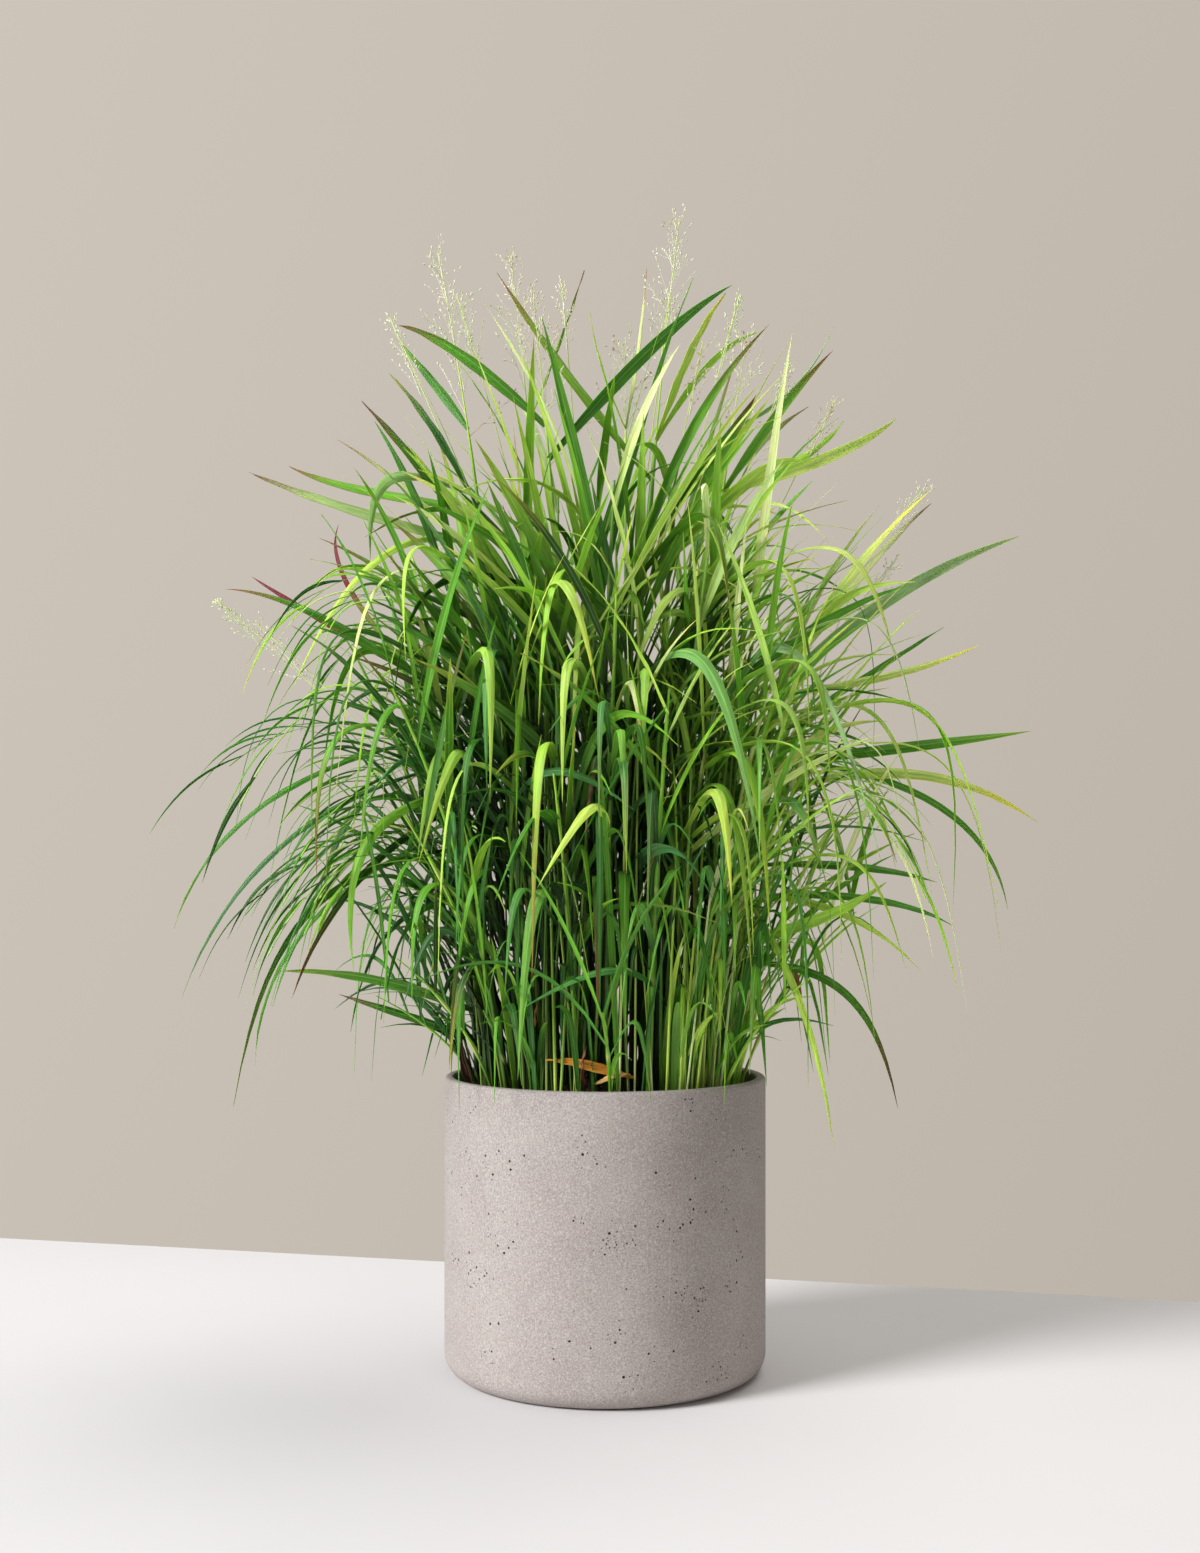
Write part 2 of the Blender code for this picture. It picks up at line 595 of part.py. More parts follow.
def join_culm(name, culm, finish):
    """Fuse a culm with its blades and branches in one union."""
    stem = object_from(name, *culm_solid(culm), finish)
    parts = bpy.data.collections.new(name + "_parts")
    bpy.context.scene.collection.children.link(parts)
    for solid in [blade_solid(b) for b in culm["blades"]] + culm["solids"]:
        piece = object_from(name + "_part", *solid)
        bpy.context.scene.collection.objects.unlink(piece)
        parts.objects.link(piece)
    union = stem.modifiers.new("one body", "BOOLEAN")
    union.operation = "UNION"
    # The manifold solver keeps crowded blades closed where the exact one leaves open edges
    union.solver = "MANIFOLD"
    union.operand_type = "COLLECTION"
    union.collection = parts
    for other in bpy.context.selected_objects:
        other.select_set(False)
    bpy.context.view_layer.objects.active = stem
    stem.select_set(True)
    bpy.ops.object.modifier_apply(modifier=union.name)
    for piece in list(parts.objects):
        bpy.data.objects.remove(piece, do_unlink=True)
    bpy.data.collections.remove(parts)
    stem.data.shade_smooth()
    stem.data.set_sharp_from_angle(angle=math.radians(35))
    return stem


def grow():
    """The whole plant: culms first, then the chosen blades, the seed heads and the rest by rule."""
    draw = random.Random(SEED)
    culms = grow_culms(draw)
    grow_marked(culms)
    for culm in culms:
        if culm["seeds"]:
            seed_head(culm, culms, draw)
    grow_rest(culms)
    return culms


def build():
    clear_scene()
    concrete = material("concrete", (0.42, 0.35, 0.31), 0.85)
    earth = material("potting_soil", (0.035, 0.022, 0.014), 0.95)
    green = material("grass", (0.13, 0.21, 0.055), 0.55)
    planter(concrete)
    culms = grow()
    soil(culms, earth)
    for n, culm in enumerate(culms):
        join_culm(f"culm_{n + 1:02d}", culm, green)
    print("blades", sum(len(c["blades"]) for c in culms))


build()
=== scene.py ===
# %% [markdown]
# # Switchgrass in a round concrete planter
# The plant is a clump of upright stalks. Long keeled blades grow on each stalk, arch over and hang,
# and a few stalks end in an airy seed head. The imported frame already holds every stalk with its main
# blades as plain solids. This lesson dresses them: it lays a fine blade along the same curve as each
# plain one, adds the thin growth between them, and gives the pot its cast concrete.

# %% Load the frame
import math
import random

import bpy
import numpy as np
from mathutils import Matrix, Vector, noise
from mathutils.bvhtree import BVHTree


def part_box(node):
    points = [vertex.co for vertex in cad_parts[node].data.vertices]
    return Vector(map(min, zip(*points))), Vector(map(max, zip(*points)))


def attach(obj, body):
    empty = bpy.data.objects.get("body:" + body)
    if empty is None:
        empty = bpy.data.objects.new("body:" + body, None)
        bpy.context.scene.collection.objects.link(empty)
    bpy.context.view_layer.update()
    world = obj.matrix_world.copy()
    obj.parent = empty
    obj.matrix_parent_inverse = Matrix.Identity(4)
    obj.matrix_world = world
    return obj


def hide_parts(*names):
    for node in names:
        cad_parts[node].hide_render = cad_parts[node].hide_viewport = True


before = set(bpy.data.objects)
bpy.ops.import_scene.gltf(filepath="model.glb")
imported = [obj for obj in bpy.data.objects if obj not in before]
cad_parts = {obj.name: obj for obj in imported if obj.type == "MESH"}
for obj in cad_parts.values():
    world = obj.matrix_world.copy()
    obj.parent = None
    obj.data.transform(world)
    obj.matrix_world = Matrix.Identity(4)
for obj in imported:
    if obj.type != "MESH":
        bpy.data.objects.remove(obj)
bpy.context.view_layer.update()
MM = 0.001
UP = Vector((0, 0, 1))
print("frame nodes:", len(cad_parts))

# %% [markdown]
# Operators act on everything that is selected, so each step starts by deselecting. Small helpers do that,
# leave a finished piece at the origin with its place in its mesh, and pick faces or edges by a test.

# %% Helpers for working by operator
def deselect():
    if bpy.context.mode != "OBJECT":
        bpy.ops.object.mode_set(mode="OBJECT")
    for thing in list(bpy.context.selected_objects):
        thing.select_set(False)


def only(thing):
    deselect()
    bpy.context.view_layer.objects.active = thing
    thing.select_set(True)
    return thing


def settle(thing):
    only(thing)
    bpy.ops.object.transform_apply(location=True, rotation=True, scale=True)
    return thing


def pick(thing, kind, test):
    """Select the faces or the edges that pass a test, and go into edit mode."""
    only(thing)
    bpy.ops.object.mode_set(mode="EDIT")
    bpy.ops.mesh.select_mode(type=kind)
    bpy.ops.mesh.select_all(action="DESELECT")
    bpy.ops.object.mode_set(mode="OBJECT")
    for item in thing.data.polygons if kind == "FACE" else thing.data.edges:
        item.select = test(item)
    bpy.ops.object.mode_set(mode="EDIT")


def faces_up(face):
    return face.normal.z > 0.9


def clamp(value, low=0.0, high=1.0):
    return max(low, min(high, value))


def round_place(radius, angle, level):
    """A point at an angle round the pot's axis, or a direction where the radius is 1."""
    return Vector((radius * math.cos(angle), radius * math.sin(angle), level))


def read_pattern(thing):
    """A mesh's points and faces, with the row along Y that each point lies in, and the mesh removed."""
    points = np.array([v.co[:] for v in thing.data.vertices])
    levels = np.unique(np.round(points[:, 1], 4))
    rows = np.searchsorted(levels, np.round(points[:, 1], 4))
    faces = [tuple(f.vertices) for f in thing.data.polygons]
    bpy.data.objects.remove(thing, do_unlink=True)
    return {"points": points, "row": rows, "rows": len(levels) - 1, "faces": faces}


def add_ball():
    deselect()
    bpy.ops.mesh.primitive_ico_sphere_add(subdivisions=1, radius=1)
    return bpy.context.object


BALL = read_pattern(add_ball())
print("ball faces", len(BALL["faces"]))

# %% [markdown]
# ## Camera, floor and light
# The photograph looks level at the plant, from 450 mm over the floor and a little over a metre and a half
# away. A level camera with a small upward shift keeps the stalks and the pot's sides upright. The floor
# is a pale slab whose back edge runs slightly askew. The main light comes from the front left, high up.

# %% Camera
CAMERA_DISTANCE = 1.667
CAMERA_HEIGHT = 0.45
PICTURE = (1200, 1553)
FOCAL_PIXELS = 1777
POT_MIDDLE_X = 605
HORIZON_Y = 887.6
SENSOR = 36

deselect()
bpy.ops.object.camera_add(location=(0, -CAMERA_DISTANCE, CAMERA_HEIGHT),
                          rotation=(math.radians(90), 0, 0))
camera = bpy.context.object
camera.data.sensor_width = SENSOR
camera.data.lens = SENSOR * FOCAL_PIXELS / PICTURE[1]
camera.data.shift_x = -(POT_MIDDLE_X - PICTURE[0] / 2) / PICTURE[1]
camera.data.shift_y = (HORIZON_Y - PICTURE[1] / 2) / PICTURE[1]
camera.data.clip_end = 30
bpy.context.scene.camera = camera
print("lens", round(camera.data.lens, 1), "mm")

# %% Floor
FLOOR_EDGE_LEFT = Vector((-0.777, 0.615, 0))
FLOOR_EDGE_RIGHT = Vector((0.646, 0.263, 0))
FLOOR_SIZE = 7.0

edge = (FLOOR_EDGE_RIGHT - FLOOR_EDGE_LEFT).normalized()
inward = Vector((edge.y, -edge.x, 0))
middle = (FLOOR_EDGE_LEFT + FLOOR_EDGE_RIGHT) / 2 + inward * FLOOR_SIZE / 2
deselect()
bpy.ops.mesh.primitive_plane_add(size=FLOOR_SIZE, location=middle,
                                 rotation=(0, 0, math.atan2(edge.y, edge.x)))
floor = settle(bpy.context.object)
floor.name = "floor"
print("floor", FLOOR_SIZE, "m wide")

# %% Light
LAMPS = [
    # name, place, the point it shines at, size, watts, colour
    ("key", (-5.3, -3.3, 3.9), (0, 0, 0.45), 2.6, 690, (0.975, 0.99, 1.0)),
    ("fill", (2.6, -4.6, 2.6), (0, 0, 0.5), 3.6, 20, (1.0, 0.97, 0.93)),
    ("top", (1.8, 1.3, 6.0), (0.05, 0, 0.7), 5.0, 200, (1.0, 0.98, 0.93)),
]

for name, place, aim, size, power, colour in LAMPS:
    deselect()
    turn = (Vector(aim) - Vector(place)).to_track_quat("-Z", "Y").to_euler()
    bpy.ops.object.light_add(type="AREA", location=place, rotation=turn)
    lamp = bpy.context.object
    lamp.name = name
    lamp.data.shape = "DISK"
    lamp.data.size = size
    lamp.data.energy = power
    lamp.data.color = colour
print("lamps", len(LAMPS))

# %% [markdown]
# ## Effects that several materials share
# Fine grain shows on the concrete, the soil and the floor. Fine lengthwise veins show on the blades, the
# stalks and the dry leaves. Each is built once as a node group that puts out values only, and each
# material feeds it its own numbers.

# %% Node group for grain
def new_group(name, inputs, outputs):
    group = bpy.data.node_groups.new(name, "ShaderNodeTree")
    for label, value in inputs:
        socket = group.interface.new_socket(label, in_out="INPUT", socket_type="NodeSocketFloat")
        socket.default_value = value
    for label in outputs:
        group.interface.new_socket(label, in_out="OUTPUT", socket_type="NodeSocketFloat")
    return group, group.nodes.new("NodeGroupInput"), group.nodes.new("NodeGroupOutput")


def wire_math(tree, kind, *values):
    node = tree.nodes.new("ShaderNodeMath")
    node.operation = kind
    for slot, value in zip(node.inputs, values):
        if isinstance(value, (int, float)):
            slot.default_value = value
        else:
            tree.links.new(value, slot)
    return node.outputs[0]


def grain_group():
    group, given, out = new_group("grain", [("Coarse", 60.0), ("Fine", 600.0)], ["Cloud", "Speck", "Height"])
    place = group.nodes.new("ShaderNodeTexCoord")
    found = []
    for label, detail in (("Coarse", 3.0), ("Fine", 2.0)):
        cloud = group.nodes.new("ShaderNodeTexNoise")
        cloud.inputs["Detail"].default_value = detail
        group.links.new(place.outputs["Object"], cloud.inputs["Vector"])
        group.links.new(given.outputs[label], cloud.inputs["Scale"])
        found.append(cloud.outputs["Fac"])
    group.links.new(found[0], out.inputs["Cloud"])
    group.links.new(found[1], out.inputs["Speck"])
    group.links.new(wire_math(group, "ADD", found[1], found[0]), out.inputs["Height"])
    return group


GRAIN = grain_group()

# %% Node group for veins
def vein_group():
    """Lengthwise veins and stretched mottling from a blade's own across and along values."""
    group, given, out = new_group(
        "veins", [("Across", 0.5), ("Along", 0.5), ("Count", 9.0), ("Shift", 0.0)],
        ["Vein", "Mottle", "Height"])
    wave = wire_math(group, "MULTIPLY", given.outputs["Across"], given.outputs["Count"])
    wave = wire_math(group, "MULTIPLY", wave, 2 * math.pi)
    vein = wire_math(group, "MULTIPLY_ADD", wire_math(group, "SINE", wave), 0.5, 0.5)
    spot = group.nodes.new("ShaderNodeCombineXYZ")
    group.links.new(wire_math(group, "MULTIPLY", given.outputs["Across"], 5.0), spot.inputs["X"])
    group.links.new(wire_math(group, "MULTIPLY", given.outputs["Along"], 7.0), spot.inputs["Y"])
    group.links.new(wire_math(group, "MULTIPLY", given.outputs["Shift"], 37.0), spot.inputs["Z"])
    cloud = group.nodes.new("ShaderNodeTexNoise")
    cloud.inputs["Scale"].default_value = 1.0
    cloud.inputs["Detail"].default_value = 3.0
    group.links.new(spot.outputs["Vector"], cloud.inputs["Vector"])
    group.links.new(vein, out.inputs["Vein"])
    group.links.new(cloud.outputs["Fac"], out.inputs["Mottle"])
    group.links.new(wire_math(group, "ADD", vein, cloud.outputs["Fac"]), out.inputs["Height"])
    return group


VEINS = vein_group()

# %% [markdown]
# A material is a tree of nodes. These helpers each add one node with its numbers and wires, so that a
# finish below reads as a short list of steps.

# %% Helpers for materials
def new_material(name, roughness):
    finish = bpy.data.materials.new(name)
    finish.use_nodes = True
    shader = finish.node_tree.nodes["Principled BSDF"]
    shader.inputs["Roughness"].default_value = roughness
    return finish, finish.node_tree, shader


def placed(tree, group, **values):
    node = tree.nodes.new("ShaderNodeGroup")
    node.node_tree = group
    for label, value in values.items():
        if isinstance(value, (int, float)):
            node.inputs[label].default_value = value
        else:
            tree.links.new(value, node.inputs[label])
    return node


def ramp(tree, value, stops):
    node = tree.nodes.new("ShaderNodeValToRGB")
    line = node.color_ramp.elements
    while len(line) < len(stops):
        line.new(0.5)
    for point, (place, colour) in zip(line, stops):
        point.position = place
        point.color = (*colour, 1)
    tree.links.new(value, node.inputs["Fac"])
    return node.outputs["Color"]


def blend(tree, share, first, second, kind="MIX"):
    node = tree.nodes.new("ShaderNodeMix")
    node.data_type = "RGBA"
    node.blend_type = kind
    node.clamp_factor = True
    for socket, value in ((node.inputs[0], share), (node.inputs[6], first), (node.inputs[7], second)):
        if isinstance(value, (int, float)):
            socket.default_value = value
        elif isinstance(value, tuple):
            socket.default_value = (*value, 1)
        else:
            tree.links.new(value, socket)
    return node.outputs[2]


def remap(tree, value, low, high, out_low=0.0, out_high=1.0):
    node = tree.nodes.new("ShaderNodeMapRange")
    node.clamp = True
    for label, number in (("From Min", low), ("From Max", high), ("To Min", out_low), ("To Max", out_high)):
        node.inputs[label].default_value = number
    tree.links.new(value, node.inputs["Value"])
    return node.outputs["Result"]


def bump(tree, shader, height, distance, strength=1.0):
    node = tree.nodes.new("ShaderNodeBump")
    node.inputs["Distance"].default_value = distance
    node.inputs["Strength"].default_value = strength
    tree.links.new(height, node.inputs["Height"])
    tree.links.new(node.outputs["Normal"], shader.inputs["Normal"])


def attribute(tree, name):
    node = tree.nodes.new("ShaderNodeAttribute")
    node.attribute_name = name
    return node.outputs["Fac"]


def vector_math(tree, kind, value, other=None):
    node = tree.nodes.new("ShaderNodeVectorMath")
    node.operation = kind
    tree.links.new(value, node.inputs[0])
    if other:
        node.inputs[1].default_value = other
    return node.outputs["Value" if kind in ("DOT_PRODUCT", "LENGTH") else "Vector"]


def own_veins(tree, count):
    """What each blade or stalk says of its own points, and the veins that this gives."""
    own = {label: attribute(tree, label) for label in ("across", "along", "shift")}
    veins = placed(tree, VEINS, Across=own["across"], Along=own["along"], Count=count, Shift=own["shift"])
    return own, veins.outputs


def srgb(red, green, blue):
    """A colour as seen on a screen, 0 to 255, in the linear values that shaders take."""
    return tuple(((c / 255 + 0.055) / 1.055) ** 2.4 if c > 10 else c / 255 / 12.92
                 for c in (red, green, blue))


# %% [markdown]
# ## Backdrop and floor finish
# The camera sees a warm grey wall that darkens towards the lower right. Everything else is lit by an even,
# weaker glow, so the plant's shaded side stays as dark as in the photograph. The floor is plain, still
# with the faintest cloudiness, so that it doesn't look like paper.

# %% Backdrop
WALL_SLANT = (1.0, 0.0, -0.45)
WALL_SPAN = 0.55
WALL_LIT = (0.615, 0.562, 0.492)
WALL_SHADED = (0.490, 0.442, 0.384)
ROOM_GLOW = (1.0, 0.97, 0.93)
ROOM_STRENGTH = 0.19

world = bpy.data.worlds.new("studio")
bpy.context.scene.world = world
world.use_nodes = True
tree = world.node_tree
tree.nodes.clear()
way = tree.nodes.new("ShaderNodeTexCoord")
slant = vector_math(tree, "DOT_PRODUCT", way.outputs["Generated"], WALL_SLANT)
shade = ramp(tree, remap(tree, slant, -WALL_SPAN, WALL_SPAN), [(0.0, WALL_LIT), (1.0, WALL_SHADED)])
wall = tree.nodes.new("ShaderNodeBackground")
tree.links.new(shade, wall.inputs["Color"])
room = tree.nodes.new("ShaderNodeBackground")
room.inputs["Color"].default_value = (*ROOM_GLOW, 1)
room.inputs["Strength"].default_value = ROOM_STRENGTH
seen = tree.nodes.new("ShaderNodeLightPath")
either = tree.nodes.new("ShaderNodeMixShader")
sky = tree.nodes.new("ShaderNodeOutputWorld")
tree.links.new(seen.outputs["Is Camera Ray"], either.inputs["Fac"])
tree.links.new(room.outputs["Background"], either.inputs[1])
tree.links.new(wall.outputs["Background"], either.inputs[2])
tree.links.new(either.outputs["Shader"], sky.inputs["Surface"])
bpy.context.scene.view_settings.view_transform = "Standard"

# %% Floor material
finish, tree, shader = new_material("studio_floor", 0.7)
grain = placed(tree, GRAIN, Coarse=2.0, Fine=90.0)
tone = ramp(tree, grain.outputs["Cloud"], [(0.3, srgb(219, 216, 217)), (0.7, srgb(223, 220, 221))])
tree.links.new(tone, shader.inputs["Base Color"])
floor.data.materials.append(finish)

# %% [markdown]
# ## The planter
# The pot is cast concrete: a straight round wall, a soft lower edge and a thin rim. By hand it starts
# as a cylinder, whose top is inset to the wall's thickness and pushed down to make the hollow, and whose
# edges are then rounded with bevels. It takes the sizes of the plain solid that it replaces.

# %% Planter body
POT_ROUNDNESS = 128
POT_WALL = 9.5 * MM
POT_FLOOR = 14 * MM
FOOT_ROUND = 19 * MM
RIM_ROUND = 3.5 * MM
INNER_ROUND = 10 * MM

POT_RADIUS = 150 * MM
POT_HEIGHT = 275 * MM
pot_low, pot_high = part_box("planter")
print("planter in the frame", round((pot_high.x - pot_low.x) / MM, 1), "by", round(pot_high.z / MM, 1), "mm")


def bevel_ring(thing, radius, height, width, steps):
    """Round the one edge ring that lies at a radius and a height."""
    def on_ring(line):
        ends = [thing.data.vertices[i].co for i in line.vertices]
        return all(abs(p.z - height) < 0.1 * MM and abs(math.hypot(p.x, p.y) - radius) < 0.3 * MM
                   for p in ends)

    pick(thing, "EDGE", on_ring)
    bpy.ops.mesh.bevel(offset=width, segments=steps, profile=0.5, affect="EDGES")
    bpy.ops.object.mode_set(mode="OBJECT")


deselect()
bpy.ops.mesh.primitive_cylinder_add(vertices=POT_ROUNDNESS, radius=POT_RADIUS, depth=POT_HEIGHT,
                                    location=(0, 0, POT_HEIGHT / 2))
pot = settle(bpy.context.object)
pot.name = "concrete_planter"
pick(pot, "FACE", faces_up)
bpy.ops.mesh.inset(thickness=POT_WALL)
bpy.ops.mesh.extrude_region_move(TRANSFORM_OT_translate={"value": (0, 0, POT_FLOOR - POT_HEIGHT)})
bpy.ops.object.mode_set(mode="OBJECT")
bevel_ring(pot, POT_RADIUS, 0.0, FOOT_ROUND, 8)
bevel_ring(pot, POT_RADIUS, POT_HEIGHT, RIM_ROUND, 4)
bevel_ring(pot, POT_RADIUS - POT_WALL, POT_HEIGHT, RIM_ROUND, 4)
bevel_ring(pot, POT_RADIUS - POT_WALL, POT_FLOOR, INNER_ROUND, 4)
print("planter faces", len(pot.data.polygons))

# %% [markdown]
# Air bubbles at the mould's face leave small pits, in loose clusters. They are real dents here: a seeded
# rule scatters small flattened balls round the wall, and one Boolean takes them all out.

# %% Pits in the wall
PIT_CLUSTERS = 150
PIT_SEED = 8
PIT_COUNTS = (2, 4, 6, 9, 13)
PIT_SIZES = (0.6, 0.7, 0.8, 1.0, 1.3)
PIT_APART = 0.4 * MM
SMOOTH_ANGLE = math.radians(35)


def pit_places():
    draw = random.Random(PIT_SEED)
    pits = []
    for cluster in range(PIT_CLUSTERS):
        turn = draw.uniform(0, 2 * math.pi)
        height = draw.uniform(FOOT_ROUND, POT_HEIGHT - 12 * MM)
        spread = draw.uniform(4, 13) * MM
        for n in range(draw.choice(PIT_COUNTS)):
            angle = turn + draw.gauss(0, 1) * spread / POT_RADIUS
            level = clamp(height + draw.gauss(0, 0.8) * spread, FOOT_ROUND, POT_HEIGHT - 8 * MM)
            size = draw.choice(PIT_SIZES) * MM
            place = round_place(POT_RADIUS, angle, level)
            if all((place - other).length > size + much + PIT_APART for other, much in pits):
                pits.append((place, size))
    return pits


pits = pit_places()
draw = random.Random(PIT_SEED + 1)
points, faces = [], []
for place, size in pits:
    stretch = np.array([size * draw.uniform(0.8, 1.3) for axis in range(3)])
    start = len(points)
    points += [tuple(np.array(place) + corner * stretch) for corner in BALL["points"]]
    faces += [tuple(i + start for i in side) for side in BALL["faces"]]
cutter_mesh = bpy.data.meshes.new("pit_cutter")
cutter_mesh.from_pydata(points, [], faces)
cutter = bpy.data.objects.new("pit_cutter", cutter_mesh)
bpy.context.scene.collection.objects.link(cutter)
only(pot)
cut = pot.modifiers.new("pits", "BOOLEAN")
cut.operation = "DIFFERENCE"
cut.solver = "MANIFOLD"
cut.object = cutter
bpy.ops.object.modifier_apply(modifier=cut.name)
bpy.data.objects.remove(cutter, do_unlink=True)
bpy.ops.object.shade_smooth_by_angle(angle=SMOOTH_ANGLE)
print("pits", len(pits), "planter faces", len(pot.data.polygons))

# %% [markdown]
# The concrete is a warm grey with fine pale and dark grains about a millimetre across, a faint
# cloudiness over the whole wall, a painted shade that darkens the pits, and a painted shade that darkens
# the wall towards the rim. The pits' painted shade comes from how far a point lies inside the wall's true
# radius, which the shader can read from Object coordinates.

# %% Concrete material
finish, tree, shader = new_material("cast_concrete", 0.86)
grain = placed(tree, GRAIN, Coarse=16.0, Fine=700.0)
cloud = ramp(tree, grain.outputs["Cloud"], [(0.3, srgb(164, 154, 149)), (0.7, srgb(174, 165, 160))])
light_grain = remap(tree, grain.outputs["Speck"], 0.52, 0.66)
dark_grain = remap(tree, grain.outputs["Speck"], 0.46, 0.34)
tone = blend(tree, wire_math(tree, "MULTIPLY", light_grain, 0.55), cloud, srgb(206, 197, 193))
tone = blend(tree, wire_math(tree, "MULTIPLY", dark_grain, 0.4), tone, srgb(118, 107, 102))
place = tree.nodes.new("ShaderNodeTexCoord")
reach = vector_math(tree, "LENGTH", vector_math(tree, "MULTIPLY", place.outputs["Object"], (1, 1, 0)))
# Painted shade in the pits: points that lie below the wall's true radius are darkened almost to black.
depth = remap(tree, reach, POT_RADIUS - 0.15 * MM, POT_RADIUS - 0.6 * MM)
inside = remap(tree, reach, POT_RADIUS - 3 * MM, POT_RADIUS - 2.5 * MM)
height = tree.nodes.new("ShaderNodeSeparateXYZ")
tree.links.new(place.outputs["Object"], height.inputs["Vector"])
wall = wire_math(tree, "MULTIPLY", remap(tree, height.outputs["Z"], FOOT_ROUND, FOOT_ROUND + MM),
                 remap(tree, height.outputs["Z"], POT_HEIGHT - 4 * MM, POT_HEIGHT - 5 * MM))
painted_pit_shade = wire_math(tree, "MULTIPLY", wire_math(tree, "MULTIPLY", depth, inside), wall)
tone = blend(tree, wire_math(tree, "MULTIPLY", painted_pit_shade, 0.95), tone, srgb(34, 28, 24))
# Painted shade: the wall darkens towards the rim, in place of the shadow that the overhanging blades cast on
# it.
painted_rim_shade = remap(tree, height.outputs["Z"], 0.0, POT_HEIGHT, 0.0, 0.32)
tone = blend(tree, painted_rim_shade, tone, (0.62, 0.62, 0.62), "MULTIPLY")
tree.links.new(tone, shader.inputs["Base Color"])
tree.links.new(remap(tree, grain.outputs["Speck"], 0.3, 0.7, 0.95, 0.78), shader.inputs["Roughness"])
bump(tree, shader, grain.outputs["Height"], 0.35 * MM, 0.5)
pot.data.materials.clear()
pot.data.materials.append(finish)
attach(pot, "root")
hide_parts("planter")

# %% [markdown]
# ## Potting soil
# The soil is a dark, crumbly mix that stands just below the rim. Its piece starts as a cylinder whose top is
# inset into rings, subdivided and then roughened by a noise, and small crumbs lie on it.

# %% Soil
SOIL_ROUNDNESS = 96
SOIL_RINGS = 9
SOIL_ROUGH = 2.2 * MM
SOIL_EDGE_Z = 264 * MM
SOIL_CROWN_Z = 267 * MM
soil_low, soil_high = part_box("soil")
soil_radius = (soil_high.x - soil_low.x) / 2


def soil_height(radius):
    share = min(1.0, radius / (POT_RADIUS - POT_WALL))
    return SOIL_CROWN_Z + (SOIL_EDGE_Z - SOIL_CROWN_Z) * share ** 2


deselect()
bpy.ops.mesh.primitive_cylinder_add(vertices=SOIL_ROUNDNESS, radius=soil_radius,
                                    depth=SOIL_EDGE_Z - soil_low.z,
                                    location=(0, 0, (SOIL_EDGE_Z + soil_low.z) / 2))
soil = settle(bpy.context.object)
soil.name = "potting_soil"
bevel_ring(soil, soil_radius, soil_low.z, INNER_ROUND - 0.3 * MM, 4)
pick(soil, "FACE", faces_up)
for ring in range(SOIL_RINGS):
    bpy.ops.mesh.inset(thickness=soil_radius / (SOIL_RINGS + 1))
bpy.ops.mesh.poke()
bpy.ops.object.mode_set(mode="OBJECT")
pick(soil, "FACE", faces_up)
bpy.ops.mesh.subdivide(number_cuts=1)
bpy.ops.object.mode_set(mode="OBJECT")
for point in soil.data.vertices:
    radius = math.hypot(point.co.x, point.co.y)
    if point.co.z > SOIL_EDGE_Z - MM and radius < soil_radius - MM:
        rough = noise.noise(point.co * 120) + 0.6 * noise.noise(point.co * 310)
        point.co.z = soil_height(radius) + SOIL_ROUGH * rough
print("soil faces", len(soil.data.polygons))

# %% Crumbs
CRUMBS = 520
CRUMB_SEED = 31
CRUMB_SIZES = (0.8, 1.1, 1.5, 2.2)

ball = add_ball()
for point in ball.data.vertices:
    point.co *= 1 + 0.35 * noise.noise(point.co * 1.7)
draw = random.Random(CRUMB_SEED)
crumbs = []
for n in range(CRUMBS):
    radius = (soil_radius - 4 * MM) * math.sqrt(draw.random())
    angle = draw.uniform(0, 2 * math.pi)
    size = draw.choice(CRUMB_SIZES) * MM
    crumb = ball.copy()
    crumb.data = ball.data.copy()
    bpy.context.scene.collection.objects.link(crumb)
    crumb.location = round_place(radius, angle, soil_height(radius) + 0.3 * size)
    crumb.rotation_euler = [draw.uniform(0, 6) for axis in range(3)]
    crumb.scale = [size * draw.uniform(0.6, 1.3) for axis in range(3)]
    crumbs.append(crumb)
bpy.data.objects.remove(ball, do_unlink=True)
deselect()
for crumb in crumbs:
    crumb.select_set(True)
bpy.context.view_layer.objects.active = crumbs[0]
bpy.ops.object.join()
litter = settle(bpy.context.object)
litter.name = "soil_crumbs"
print("crumbs", len(crumbs), "faces", len(litter.data.polygons))

# %% Soil material
finish, tree, shader = new_material("dark_potting_mix", 0.95)
grain = placed(tree, GRAIN, Coarse=90.0, Fine=420.0)
tone = ramp(tree, grain.outputs["Cloud"], [
    (0.35, srgb(38, 27, 20)), (0.55, srgb(66, 46, 33)), (0.75, srgb(96, 72, 52))])
tone = blend(tree, remap(tree, grain.outputs["Speck"], 0.6, 0.7), tone, srgb(132, 104, 78))
tree.links.new(tone, shader.inputs["Base Color"])
bump(tree, shader, grain.outputs["Height"], 1.2 * MM)
for piece in (soil, litter):
    piece.data.materials.append(finish)
    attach(piece, "root")
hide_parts("soil")

# %% [markdown]
# ## How the plant grows
# The plain stalks and blades in the frame follow a rule, and the fine ones have to lie on the same curves.
# So the rule is repeated here with the same seeds. Feet are spread over the crown by the golden angle, each
# culm leans out as it rises, and each blade is a Bezier curve through its root, the height of its arch and
# its tip. A blade that would touch a neighbour is bent clear by trying again.

